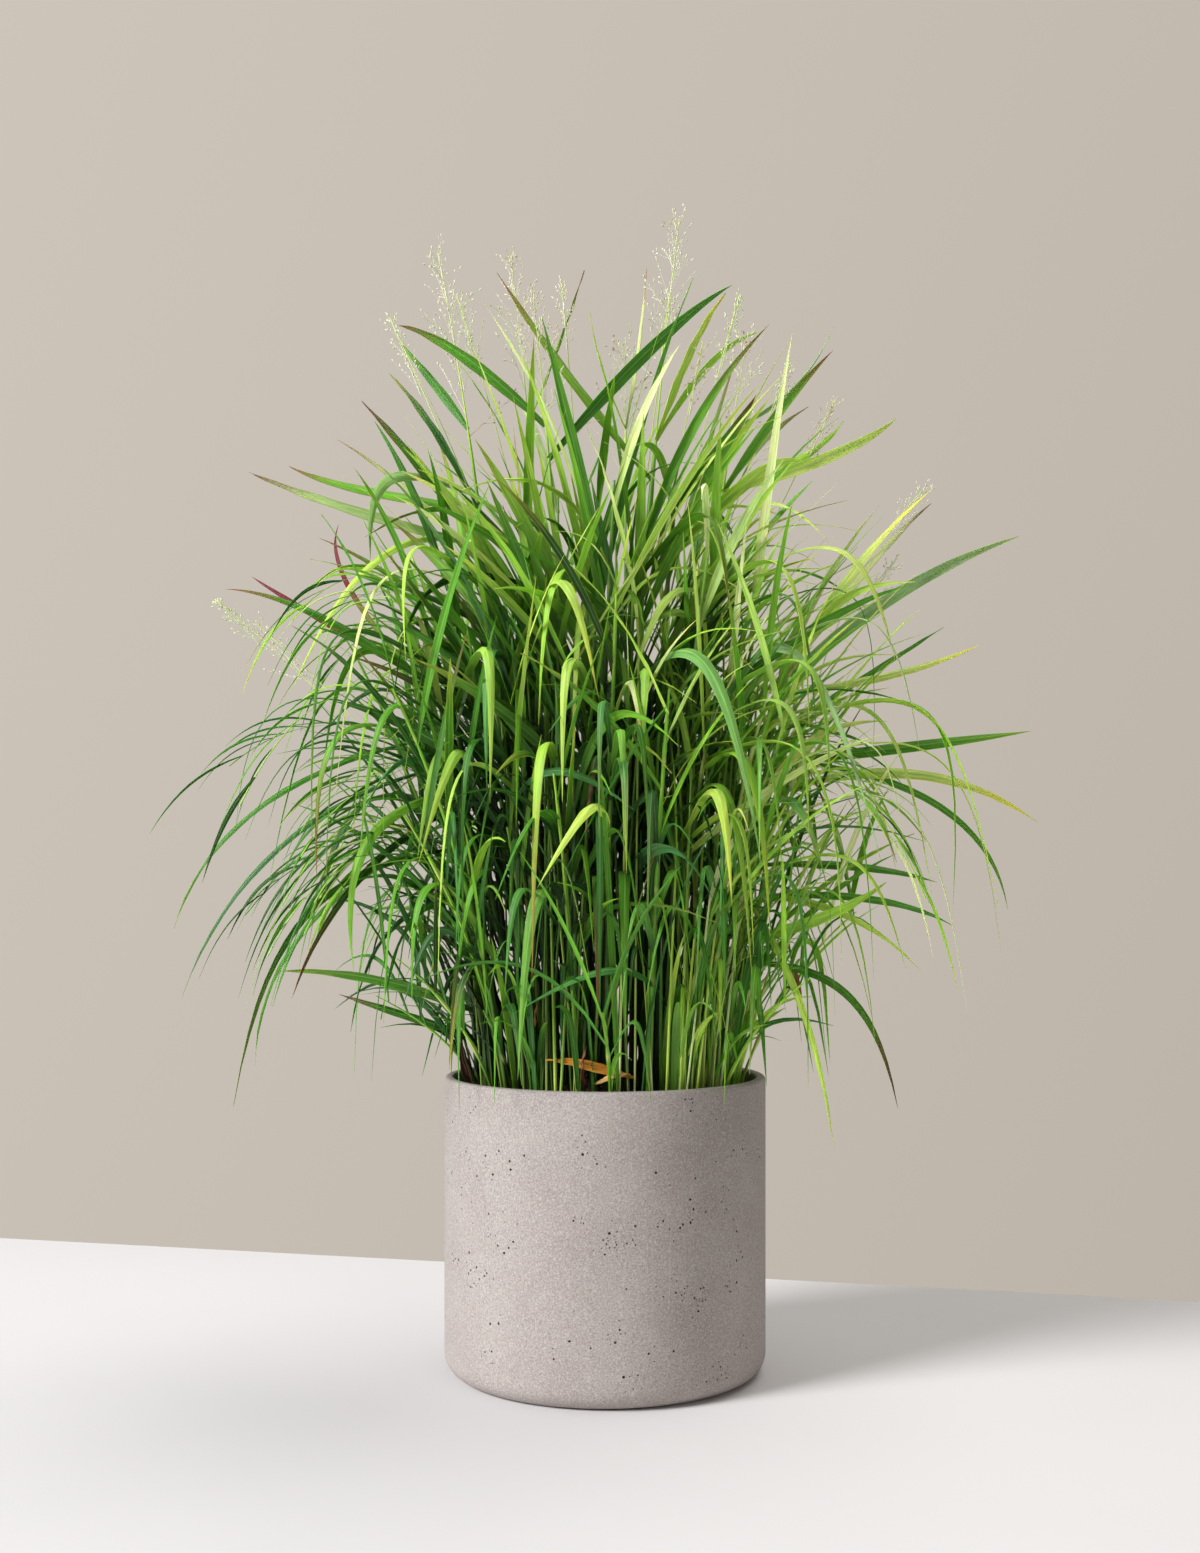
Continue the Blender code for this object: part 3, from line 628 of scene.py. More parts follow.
# %% Sizes of the plant
# Culms: the upright stalks
TOUCH_GAP = 0.3 * MM
HOLE_DEPTH = 32 * MM
CULM_COUNT = 56
CROWN_RADIUS = 127 * MM
CROWN_HEART = 25 * MM
CULM_BASE_RADIUS = 2.0 * MM
CULM_TIP_RADIUS = 1.0 * MM
CULM_SIDES = 4
CULM_SPANS = 4
CULM_STRAIGHT = 6 * MM
GOLDEN_ANGLE = math.radians(137.508)

# Blades: the long keeled leaves
BLADES_PER_CULM = 7
SHARP_ARCH = math.radians(105)
KEEL_SHARE = 0.17
KEEL_LEAST = 1.3 * MM
SIDE_CLEAR = 1.2 * MM
KEEL_CLEAR = 0.8 * MM
POT_CLEAR = 2 * MM
HIGHEST_ROOT = 0.985
TRIES = 40
MARKED_WANDER = (0.4, 2.5, 0.4)

# Room that the blades placed by rule keep to
ROOM_MIDDLE_Z = 600 * MM
ROOM_UP = 420 * MM
ROOM_DOWN = 390 * MM
ROOM_REACH = 315 * MM
ROOM_SHALLOW = 1.15
ROOM_CURVE = 2.6

SEED = 27

# Tops of the culms that carry seed heads, in millimetres
SEED_HEAD_TOPS = [
    (70, 0, 1080),
    (-155, -20, 1040),
    (-90, 20, 1052),
    (-66, -40, 996),
    (132, -30, 962),
    (20, 60, 985),
]

# Blades that give the plant its outline, chosen one by one, in millimetres: root, the height of the arch,
# the tip, how tightly the arch folds, the width, and the looks where they differ from its neighbours'
MARKED_BLADES = [
    ("top right arch", (-40, -30, 835), (55, -85, 955), (115, -60, 995), 0.70, 12, "deep"),
    ("top pale sickle", (65, 10, 880), (80, -5, 965), (115, 20, 1015), 0.70, 10, "bright sunlit"),
    ("top dark point", (-5, 20, 910), (35, 15, 975), (40, 40, 1045), 0.66, 9, "red"),
    ("top thin point", (-40, 30, 885), (-40, 35, 980), (-20, 60, 1050), 0.66, 8, "red"),
    ("top short point", (-5, 15, 890), (-10, 5, 945), (-15, 30, 1005), 0.66, 7, ""),
    ("top left lance", (35, -10, 835), (-40, -45, 920), (-100, -20, 1020), 0.66, 11, "red"),
    ("top left arch", (-70, -20, 870), (-140, -65, 950), (-190, -40, 965), 0.66, 12, ""),
    ("upper left lance", (-95, -30, 805), (-145, -85, 860), (-195, -60, 915), 0.66, 12, "blue"),
    ("upper left far lance", (-120, 15, 875), (-155, 5, 920), (-200, 30, 975), 0.66, 9, ""),
    ("upper right lance", (85, -40, 795), (105, -105, 835), (135, -80, 890), 0.66, 13, "deep"),
    ("upper right point", (125, -15, 820), (155, -55, 885), (210, -30, 945), 0.66, 9, "red"),
    ("upper right strap", (200, 20, 865), (190, 15, 915), (220, 40, 990), 0.66, 8, "blue"),
    ("right shoulder point", (175, 5, 815), (195, -15, 845), (225, 10, 890), 0.66, 9, ""),
    ("right shoulder lance", (200, -10, 810), (230, -45, 845), (270, -20, 885), 0.66, 11, ""),
    ("top right sickle", (70, 30, 885), (100, 35, 970), (150, 60, 990), 0.70, 12, "bright"),
    ("left shoulder lance", (-110, -30, 750), (-165, -85, 830), (-220, -60, 890), 0.66, 12, "deep red"),
    ("left long lance", (-200, -10, 745), (-260, -45, 800), (-330, -20, 835), 0.66, 10, "red"),
    ("left lance", (-195, 10, 785), (-250, -5, 820), (-300, 20, 850), 0.66, 11, "red"),
    ("left folded strap", (-150, -45, 785), (-210, -115, 840), (-210, -90, 745), 0.80, 11, "blue"),
    ("left spike", (-275, 0, 695), (-265, -25, 740), (-250, 0, 790), 0.66, 6, "red wholly"),
    ("left low lance", (-190, -15, 670), (-275, -55, 720), (-350, -30, 725), 0.66, 10, "deep red"),
    ("left needle", (-260, 10, 700), (-300, -5, 720), (-335, 20, 745), 0.66, 6, "red wholly"),
    ("left long arch", (-95, -40, 770), (-205, -105, 790), (-280, -80, 625), 0.70, 8, "bright"),
    ("left inner arch", (-85, -60, 725), (-175, -145, 745), (-185, -120, 595), 0.75, 9, ""),
    ("left outer arch", (-150, -30, 660), (-235, -85, 705), (-255, -60, 555), 0.75, 9, ""),
    ("far left weeper", (-255, -10, 580), (-355, -45, 550), (-400, -20, 410), 0.66, 9, "deep slim"),
    ("far left long weeper", (-245, -25, 550), (-320, -75, 520), (-385, -50, 350), 0.66, 9, "deep slim"),
    ("lowest left weeper", (-190, -20, 475), (-300, -65, 465), (-340, -40, 250), 0.75, 10, "deep slim"),
    ("far left low weeper", (-260, 5, 485), (-325, -15, 430), (-330, 10, 280), 0.66, 7, "deep slim"),
    ("left bright weeper", (-190, -40, 520), (-235, -105, 475), (-280, -80, 350), 0.66, 9, "deep"),
    ("left broad weeper", (-170, -55, 530), (-235, -135, 515), (-220, -110, 375), 0.75, 12, ""),
    ("low left broad weeper", (-120, -60, 435), (-175, -145, 455), (-195, -120, 335), 0.75, 11, "slim"),
    ("low left weeper", (-160, -30, 430), (-210, -85, 430), (-230, -60, 320), 0.75, 9, "slim"),
    ("low left level blade", (-125, -35, 335), (-200, -95, 380), (-295, -70, 375), 0.66, 11, "deep"),
    ("low left point", (-150, 0, 315), (-195, -25, 335), (-250, 0, 350), 0.66, 8, "red"),
    ("rim left hanger", (-95, -75, 360), (-125, -175, 405), (-135, -150, 295), 0.80, 8, ""),
    ("left front hanger", (-115, -75, 530), (-140, -175, 605), (-160, -150, 475), 0.80, 11, "pale"),
    ("left front strap", (-160, -65, 555), (-180, -155, 585), (-210, -130, 510), 0.70, 13, "blue"),
    ("right bright lance", (155, -15, 700), (220, -55, 750), (305, -30, 820), 0.66, 12, "bright sunlit"),
    ("right long lance", (200, 0, 680), (275, -25, 740), (390, 0, 780), 0.66, 13, "blue"),
    ("right yellow lance", (230, 5, 615), (285, -15, 645), (355, 10, 680), 0.66, 10, "bright sunlit"),
    ("right level lance", (220, -10, 560), (295, -45, 580), (395, -20, 595), 0.66, 12, "deep"),
    ("right thin lance", (230, 20, 630), (270, 15, 665), (325, 40, 700), 0.66, 7, "deep"),
    ("right shoulder fold", (80, -30, 750), (145, -85, 840), (180, -60, 835), 0.75, 13, "bright"),
    ("front right great arch", (45, -95, 615), (90, -215, 705), (130, -190, 470), 0.75, 12, "blue"),
    ("right long hanger", (120, -75, 670), (175, -175, 700), (235, -150, 475), 0.70, 10, "blue"),
    ("far right arch", (240, -5, 530), (300, -35, 580), (405, -10, 510), 0.70, 11, "bright sunlit"),
    ("far right weeper", (280, 5, 540), (355, -15, 550), (380, 10, 430), 0.66, 7, "deep"),
    ("right low level blade", (185, 10, 465), (250, -5, 475), (315, 20, 455), 0.66, 9, "deep"),
    ("right low point", (180, -15, 430), (260, -55, 450), (320, -30, 415), 0.66, 8, "deep"),
    ("right low pale blade", (170, -30, 440), (225, -85, 440), (285, -60, 375), 0.66, 10, "bright"),
    ("low right broad blade", (170, -45, 390), (200, -115, 420), (250, -90, 455), 0.66, 13, ""),
    ("low right weeper", (125, -30, 385), (235, -85, 385), (265, -60, 250), 0.75, 12, "red slim"),
    ("lowest right weeper", (125, -55, 440), (180, -135, 355), (200, -110, 225), 0.70, 9, "bright slim"),
    ("rim right blade", (120, -20, 295), (135, -65, 325), (165, -40, 340), 0.66, 6, "bright"),
    ("right brown point", (175, 10, 710), (245, -5, 760), (310, 20, 815), 0.66, 8, "red"),
    ("front hoop", (-55, -100, 635), (-35, -225, 760), (-5, -200, 605), 0.80, 10, "bright pale"),
    ("front left hanger", (-120, -100, 615), (-90, -225, 685), (-95, -200, 520), 0.90, 10, "pale"),
    ("front middle hanger", (-25, -105, 595), (-35, -235, 675), (-35, -210, 520), 0.90, 10, "bright pale"),
    ("front long hanger", (-40, -85, 615), (-10, -195, 690), (-5, -170, 475), 0.80, 10, "pale"),
    ("front right drop", (75, -75, 705), (50, -175, 725), (20, -150, 615), 0.75, 9, "bright pale"),
    ("front cross arch", (105, -60, 665), (75, -145, 710), (15, -120, 665), 0.70, 8, "bright pale"),
    ("front low left arch", (-45, -105, 485), (-50, -235, 550), (-90, -210, 440), 0.75, 11, ""),
    ("front sickle", (0, -110, 480), (0, -245, 545), (-55, -220, 450), 0.85, 11, "bright"),
    ("front left arch", (-105, -95, 520), (-115, -215, 605), (-155, -190, 470), 0.80, 10, "pale"),
    ("front level arch", (-100, -85, 455), (-70, -195, 590), (25, -170, 515), 0.75, 11, "blue"),
    ("front right hanger", (70, -100, 485), (95, -225, 570), (105, -200, 435), 0.85, 11, "bright"),
    ("front pale strap", (30, -95, 455), (50, -215, 520), (90, -190, 440), 0.66, 13, "blue"),
    ("front inner hanger", (50, -85, 600), (35, -195, 665), (30, -170, 555), 0.85, 10, "blue pale"),
    ("right front hanger", (115, -75, 555), (145, -175, 615), (155, -150, 445), 0.80, 11, "pale"),
    ("right front pale hanger", (140, -65, 500), (160, -155, 560), (190, -130, 460), 0.75, 10, "blue"),
    ("front foot arch", (50, -80, 340), (25, -185, 410), (-75, -160, 345), 0.75, 10, ""),
]

# %% Curves
def curve_point(points, t):
    """A point on the Bezier curve through the first and last of three or four points."""
    row = list(points)
    while len(row) > 1:
        row = [a.lerp(b, t) for a, b in zip(row, row[1:])]
    return row[0]


def curve_points(points, stations):
    return [curve_point(points, t) for t in stations]


def stations_by_bend(points, spans):
    """Stations that lie closer together where the curve turns."""
    fine = 24
    row = curve_points(points, [i / fine for i in range(fine + 1)])
    weights = [0.0]
    for i in range(1, fine + 1):
        step = row[i] - row[i - 1]
        before = row[i - 1] - row[i - 2] if i > 1 else step
        weights.append(weights[-1] + 1.0 + 14.0 * step.angle(before, 0.0))
    stations = []
    for n in range(spans + 1):
        goal = weights[-1] * n / spans
        i = next(k for k in range(fine + 1) if weights[k] >= goal - 1e-9)
        span = weights[i] - weights[i - 1] if i else 1.0
        stations.append((i - (weights[i] - goal) / span) / fine if i else 0.0)
    return stations


def ease(value):
    value = clamp(value)
    return value * value * (3.0 - 2.0 * value)


# %% Plain solids, for finding what would touch
def blade_width(share, width):
    """Half the width of a blade at a share of its length."""
    swell = 0.45 + 0.55 * ease(share / 0.3)
    taper = 1.0 - max(0.0, (share - 0.4) / 0.6) ** 1.7
    return 0.5 * width * swell * taper


def blade_solid(blade, side_extra=0.0, keel_extra=0.0):
    """Three-cornered rings along the blade's curve, drawn to a point at its root and its tip."""
    stations = blade["stations"]
    row = curve_points(blade["curve"], stations)
    verts = [row[0]]
    for n in range(1, len(row) - 1):
        along = (row[n + 1] - row[n - 1]).normalized()
        side = blade["side"] - along * blade["side"].dot(along)
        side = (Matrix.Rotation(blade["roll"] + blade["twist"] * stations[n], 3, along) @ side).normalized()
        back = side.cross(along)
        half = blade_width(stations[n], blade["width"])
        lift = 0.5 * max(KEEL_LEAST, 2 * half * KEEL_SHARE) + keel_extra
        half += side_extra
        verts.append(row[n] + side * half + back * lift)
        verts.append(row[n] - side * half + back * lift)
        verts.append(row[n] - back * lift)
    verts.append(row[-1])
    last = len(verts) - 4
    faces = []
    for a, b in ((0, 1), (1, 2), (2, 0)):
        faces.append((1 + a, 1 + b, 0))
        for start in range(1, last, 3):
            faces.append((start + b, start + a, start + 3 + a))
            faces.append((start + b, start + 3 + a, start + 3 + b))
        faces.append((last + b, last + a, last + 3))
    return verts, faces


def blade_from(root, crest, tip, fold, width, roll, twist):
    flat = Vector((tip.x - root.x, tip.y - root.y, 0.0))
    if flat.length < 5 * MM:
        flat = Vector((root.x, root.y - 5 * MM, 0.0))
    curve = [root, root.lerp(crest, fold), tip.lerp(crest, fold), tip]
    spans = 5 if (crest - root).angle(tip - crest, 0.0) > SHARP_ARCH else 4
    return {"curve": curve, "side": UP.cross(flat).normalized(), "width": width,
            "roll": roll, "twist": twist, "stations": stations_by_bend(curve, spans)}


def culm_shape(base, top):
    """The curve of a culm: it leaves the soil upright and leans out as it rises."""
    lean = Vector((base.x + 0.30 * (top.x - base.x), base.y + 0.30 * (top.y - base.y),
                   base.z + 0.60 * (top.z - base.z)))
    return [base, lean, top]


def tube(rings, sides):
    """A closed tube through rings of (centre, along, radius)."""
    verts = []
    faces = []
    for centre, along, radius in rings:
        turn = along.to_track_quat("Z", "X")
        for k in range(sides):
            angle = 2 * math.pi * k / sides
            verts.append(centre + turn @ round_place(radius, angle, 0.0))
    for n in range(len(rings) - 1):
        for k in range(sides):
            a, b = n * sides + k, n * sides + (k + 1) % sides
            faces.append((a, b, b + sides))
            faces.append((a, b + sides, a + sides))
    last = (len(rings) - 1) * sides
    faces.append(tuple(reversed(range(sides))))
    faces.append(tuple(range(last, last + sides)))
    return verts, faces


def on_culm(culm, share):
    """A point on the straight spans that the culm's solid is made of."""
    span = min(CULM_SPANS - 1, int(share * CULM_SPANS))
    low = curve_point(culm["curve"], span / CULM_SPANS)
    high = curve_point(culm["curve"], (span + 1) / CULM_SPANS)
    return low.lerp(high, share * CULM_SPANS - span)


def culm_solid(culm, extra=0.0):
    rings = [(culm["foot"], UP, culm["radius"] + extra)]
    for n in range(CULM_SPANS + 1):
        share = n / CULM_SPANS
        radius = culm["radius"] + (CULM_TIP_RADIUS - culm["radius"]) * share
        rings.append((curve_point(culm["curve"], share), UP, radius + extra))
    return tube(rings, CULM_SIDES)


def branch_solid(start, end, thick, grain):
    """A thin seed-head branch that ends in a spikelet."""
    along = (end - start).normalized()
    neck = end - along * 3.0 * grain
    rings = [(start, along, thick), (neck, along, 0.8 * thick),
             (end - along * 1.6 * grain, along, grain), (end, along, 0.4 * thick)]
    return tube(rings, 3)


def tree_of(solids):
    verts = []
    faces = []
    for v, f in solids:
        start = len(verts)
        verts += v
        faces += [tuple(i + start for i in face) for face in f]
    return BVHTree.FromPolygons(verts, faces)


def clear_of(solid, trees):
    mine = tree_of([solid])
    return not any(mine.overlap(other) for other in trees)


# %% Culms
def crown_bases():
    """Feet of the culms, spread evenly over the crown by the golden angle."""
    bases = []
    for i in range(CULM_COUNT):
        radius = CROWN_RADIUS * math.sqrt((i + 0.5) / CULM_COUNT)
        bases.append(round_place(radius, i * GOLDEN_ANGLE, soil_height(radius) + CULM_STRAIGHT))
    return bases


def fan_top(base, draw):
    """Where a culm ends: inner ones stand tall, outer ones lean out and stay lower."""
    share = math.hypot(base.x, base.y) / CROWN_RADIUS
    height = (825 - 215 * share ** 2 + draw.uniform(-60, 40)) * MM
    spread = 1.35 + 0.55 * draw.random()
    wander = 22 * MM
    return Vector((base.x * spread + draw.uniform(-wander, wander),
                   base.y * spread + draw.uniform(-wander, wander), height))


def grow_culms(draw):
    bases = crown_bases()
    tops = [None] * len(bases)
    for place in SEED_HEAD_TOPS:
        top = Vector(place) * MM
        free = [i for i in range(len(bases)) if tops[i] is None]
        nearest = min(free, key=lambda i: math.hypot(bases[i].x - 0.4 * top.x, bases[i].y - 0.4 * top.y))
        tops[nearest] = top
    headed = [i for i in range(len(bases)) if tops[i] is not None]
    culms = []
    for i in headed + [i for i in range(len(bases)) if i not in headed]:
        base = bases[i]
        trees = [culm["tree"] for culm in culms]
        for attempt in range(TRIES):
            top = tops[i] if i in headed and attempt == 0 else fan_top(base, draw)
            culm = {"curve": culm_shape(base, top), "radius": CULM_BASE_RADIUS, "seeds": i in headed,
                    "foot": Vector((base.x, base.y, base.z - CULM_STRAIGHT - HOLE_DEPTH + TOUCH_GAP)),
                    "blades": [], "solids": []}
            if clear_of(culm_solid(culm, SIDE_CLEAR), trees):
                break
        culm["tree"] = tree_of([culm_solid(culm)])
        culms.append(culm)
    return culms


# %% Chosen blades
def add_blade(culm, blade):
    culm["blades"].append(blade)
    culm["tree"] = tree_of([culm_solid(culm)] + [blade_solid(b) for b in culm["blades"]])


def clears_pot(blade):
    """True if the blade passes over the rim and the soil, or hangs outside the planter."""
    margin = 0.5 * blade["width"] + POT_CLEAR
    for place in curve_points(blade["curve"], [n / 24 for n in range(25)]):
        radius = math.hypot(place.x, place.y)
        if radius < POT_RADIUS - POT_WALL - margin:
            low = SOIL_CROWN_Z
        elif radius < POT_RADIUS + margin:
            low = POT_HEIGHT
        else:
            continue
        if place.z < low + margin:
            return False
    return True


def fits(blade, culm, culms):
    if not clears_pot(blade):
        return False
    grown = blade_solid(blade, SIDE_CLEAR, KEEL_CLEAR)
    others = [c["tree"] for c in culms if c is not culm]
    own = [tree_of([blade_solid(b)]) for b in culm["blades"]]
    return clear_of(grown, others + own)


def nearest_on(culms, place):
    """The culm and the share of its height that come closest to a place."""
    best = None
    for culm in culms:
        if len(culm["blades"]) >= BLADES_PER_CULM:
            continue
        for n in range(2, 20):
            point = on_culm(culm, n / 20)
            gap = (point - place).length
            if best is None or gap < best[0]:
                best = (gap, culm, n / 20)
    return best[1], best[2]


def grow_marked(culms):
    for n, (name, root, crest, tip, fold, width, looks) in enumerate(MARKED_BLADES):
        draw = random.Random(1000 * SEED + n)
        root, crest, tip = (Vector(p) * MM for p in (root, crest, tip))
        culm, share = nearest_on(culms, root)
        across = abs(tip.x - root.x) / max(1 * MM, math.hypot(tip.x - root.x, tip.y - root.y))
        for attempt in range(TRIES):
            wander = attempt * 1.0 * MM
            shift = Vector([much * draw.uniform(-1, 1) for much in MARKED_WANDER]) * wander
            start = on_culm(culm, clamp(share + draw.uniform(-1, 1) * attempt * 0.004, 0.05, 0.98))
            blade = blade_from(start, crest + shift, tip + shift, fold, width * MM,
                               math.radians(58) * across * draw.choice((-1, 1)), draw.uniform(-0.5, 0.5))
            blade["looks"] = looks.split()
            if fits(blade, culm, culms):
                add_blade(culm, blade)
                break
        else:
            print("left out:", name)


# %% Blades by rule
def in_room(blade):
    """True if the tip lies in the egg-shaped room that the clump fills."""
    tip = blade["curve"][-1]
    high = abs(tip.z - ROOM_MIDDLE_Z) / (ROOM_UP if tip.z > ROOM_MIDDLE_Z else ROOM_DOWN)
    wide = math.hypot(tip.x, ROOM_SHALLOW * tip.y) / ROOM_REACH
    return high ** ROOM_CURVE + wide ** ROOM_CURVE < 1.0


def rule_blade(culm, share, turn, draw):
    """A blade by rule: the upper ones stand up, the lower ones arch and hang."""
    root = on_culm(culm, share)
    away = math.atan2(root.y, root.x)
    if math.hypot(root.x, root.y) < CROWN_HEART:
        away = draw.uniform(-math.pi, math.pi)
    either_side = turn % 2 * 2 - 1
    angle = away + math.radians(either_side * draw.uniform(15, 75) + draw.uniform(-25, 25))
    flat = round_place(1, angle, 0)
    length = draw.uniform(150, 300) * MM * (0.8 if share < 0.35 else 1.0)
    rise = math.radians(draw.uniform(58, 80) - 14 * (1 - share))
    kind = draw.random() - 0.9 * (share - 0.5)
    if share < 0.7:
        kind += 0.25 * max(0.0, -flat.y)
    if kind < 0.36:
        fold, first, fall = 0.66, 0.55, rise - math.radians(draw.uniform(15, 40))
    elif kind < 0.72:
        fold, first, fall = 0.72, 0.50, math.radians(draw.uniform(-45, 10))
    else:
        fold, first, fall = 0.88, 0.42, math.radians(draw.uniform(-88, -72))
    crest = root + (flat * math.cos(rise) + UP * math.sin(rise)) * length * first
    tip = crest + (flat * math.cos(fall) + UP * math.sin(fall)) * length * (1 - first)
    return blade_from(root, crest, tip, fold, draw.uniform(6, 9.5) * MM,
                      math.radians(draw.uniform(-50, 50)), draw.uniform(-0.7, 0.7))


def grow_rest(culms):
    for number, culm in enumerate(culms):
        if culm["seeds"]:
            continue
        draw = random.Random(2000 * SEED + number)
        missing = BLADES_PER_CULM - len(culm["blades"])
        lowest = 0.24 + 0.1 * draw.random()
        for n in range(missing):
            share = lowest + (0.99 - lowest) * (n + draw.random() * 0.5) / max(1, missing - 0.5)
            for attempt in range(TRIES):
                blade = rule_blade(culm, min(HIGHEST_ROOT, share), n, draw)
                if in_room(blade) and fits(blade, culm, culms):
                    add_blade(culm, blade)
                    break


# %% Seed heads, and the whole plant
HEAD_STEPS = 8


def seed_head(culm, culms, draw):
    """Airy branches round the top of a culm."""
    branches = []
    others = [c["tree"] for c in culms if c is not culm]
    for n in range(HEAD_STEPS):
        start = on_culm(culm, 0.74 + 0.25 * n / HEAD_STEPS)
        reach = (62 - 44 * n / HEAD_STEPS) * MM
        for attempt in range(TRIES):
            angle = n * GOLDEN_ANGLE + draw.uniform(-0.5, 0.5)
            lift = math.radians(draw.uniform(38, 62))
            way = round_place(math.cos(lift), angle, math.sin(lift))
            solid = branch_solid(start, start + way * reach, 0.6 * MM, 1.5 * MM)
            own = [tree_of([blade_solid(b)]) for b in culm["blades"]]
            wide = branch_solid(start, start + way * reach, 1.5 * MM, 2.4 * MM)
            if clear_of(wide, others + own + [tree_of([b]) for b in branches]):
                branches.append(solid)
                break
    culm["solids"] = branches
    culm["tree"] = tree_of([culm_solid(culm)] + [blade_solid(b) for b in culm["blades"]] + branches)


def grow():
    """The whole plant: culms first, then the chosen blades, the seed heads and the rest by rule."""
    draw = random.Random(SEED)
    culms = grow_culms(draw)
    grow_marked(culms)
    for culm in culms:
        if culm["seeds"]:
            seed_head(culm, culms, draw)
    grow_rest(culms)
    return culms


culms = grow()
print("culms", len(culms), "blades", sum(len(c["blades"]) for c in culms))
worst = 0.0
for n, culm in enumerate(culms):
    low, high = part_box(f"culm_{n + 1:02d}")
    points = culm_solid(culm)[0] + [v for b in culm["blades"] for v in blade_solid(b)[0]]
    points += [v for solid in culm["solids"] for v in solid[0]]
    for axis in range(3):
        worst = max(worst, abs(min(p[axis] for p in points) - low[axis]),
                    abs(max(p[axis] for p in points) - high[axis]))
print("furthest from the frame", round(worst / MM, 3), "mm")

# %% [markdown]
# ## One blade, modelled flat
# A grass blade is a long thin sheet, folded along its midrib and drawn to a point. It is modelled once, as a
# grid that Solidify gives two faces, and each copy is laid along its own curve: a point's place across and
# along the flat pattern says where it goes. Far more blades than anyone would bend by hand are made so, and
# each copy has its own mesh points. Two patterns are made: a fine one for the blades that give the outline,
# and a plain one for the growth between them.

# %% Patterns
def blade_pattern(across, along):
    deselect()
    bpy.ops.mesh.primitive_grid_add(x_subdivisions=across, y_subdivisions=along, size=2)
    sheet = bpy.context.object
    thick = sheet.modifiers.new("two faces", "SOLIDIFY")
    thick.thickness = 2.0
    thick.offset = 0.0
    bpy.ops.object.modifier_apply(modifier=thick.name)
    return read_pattern(sheet)


def stalk_pattern(sides, rows):
    """A capped tube that lies along Y, cut into rows by subdividing its long edges."""
    deselect()
    bpy.ops.mesh.primitive_cylinder_add(vertices=sides, radius=1, depth=2,
                                        rotation=(math.radians(90), 0, 0))
    tube_piece = settle(bpy.context.object)

    def lengthwise(line):
        a, b = (tube_piece.data.vertices[i].co for i in line.vertices)
        return abs(a.y - b.y) > 1

    pick(tube_piece, "EDGE", lengthwise)
    bpy.ops.mesh.subdivide(number_cuts=rows - 1)
    bpy.ops.object.mode_set(mode="OBJECT")
    return read_pattern(tube_piece)


FINE_BLADE = blade_pattern(4, 16)
PLAIN_BLADE = blade_pattern(2, 10)
FINE_STALK = stalk_pattern(8, 70)
PLAIN_STALK = stalk_pattern(5, 16)
TWIG = stalk_pattern(4, 3)
for name, pattern in (("fine blade", FINE_BLADE), ("plain blade", PLAIN_BLADE), ("fine stalk", FINE_STALK)):
    print(name, "rows", pattern["rows"], "faces", len(pattern["faces"]))

# %% [markdown]
# A real clump has so many blades that its inside is dark. The few hundred here let more light through, so
# each point of the mesh also says how deep it lies in the clump, from 0 at the surface to 1, and the
# finishes grow darker and greener with it: painted shade that stands in for the shade of the missing blades.

# %% How deep a point lies, for the painted shade
DEEP_REACH = 0.6
DEEP_FADE = 38 * MM
LOW_FADE = 11 * MM
DEEP_SIDE = 22 * MM
DEEP_FOOT = CROWN_RADIUS - 5 * MM
LIGHT_FROM = 0.55
LIGHT_SPAN = 0.35


def clump_radius(levels):
    """How wide the clump is at some levels: narrow at the pot, widest half way up, round at the top."""
    rise = np.clip((levels - SOIL_CROWN_Z) / (ROOM_MIDDLE_Z - SOIL_CROWN_Z), 0, 1)
    fall = np.clip((levels - ROOM_MIDDLE_Z) / ROOM_UP, 0, 1)
    return (DEEP_FOOT + (DEEP_REACH * ROOM_REACH - DEEP_FOOT) * rise ** 0.8) * np.sqrt(1 - 0.9 * fall ** 2)


def painted_shade_depth(points):
    """Painted shade for a point: 0 at the clump's surface, nearly 1 deep inside, and less at the top and the
    right, which are lit.
    """
    inside = clump_radius(points[:, 2]) - np.hypot(points[:, 0] + DEEP_SIDE, points[:, 1])
    light = 1 - 0.85 * np.clip((points[:, 2] - LIGHT_FROM) / LIGHT_SPAN, 0, 1)
    rise = np.clip((points[:, 2] - SOIL_CROWN_Z) / (ROOM_MIDDLE_Z - SOIL_CROWN_Z), 0, 1)
    fade = LOW_FADE + (DEEP_FADE - LOW_FADE) * rise
    return (1 - np.exp(-np.clip(inside, 0, 1) / fade)) * light


# %% Bunches gather many copies into one piece
MARKS = ("tone", "cast", "ripe", "shift", "across", "along", "joint")
BLADE, STALK, HUSK = 0, 1, 2
CREASE_ANGLE = math.radians(48)


def new_bunch():
    return {"points": [], "faces": [], "finish": [], "count": 0, "marks": {name: [] for name in MARKS}}


def add_copy(bunch, points, faces, finish, **marks):
    start = bunch["count"]
    bunch["points"].append(points)
    bunch["faces"] += [tuple(i + start for i in face) for face in faces]
    bunch["finish"] += [finish] * len(faces)
    bunch["count"] += len(points)
    for name in MARKS:
        value = marks.get(name, 0.0)
        bunch["marks"][name].append(np.broadcast_to(np.asarray(value, dtype=float), len(points)))


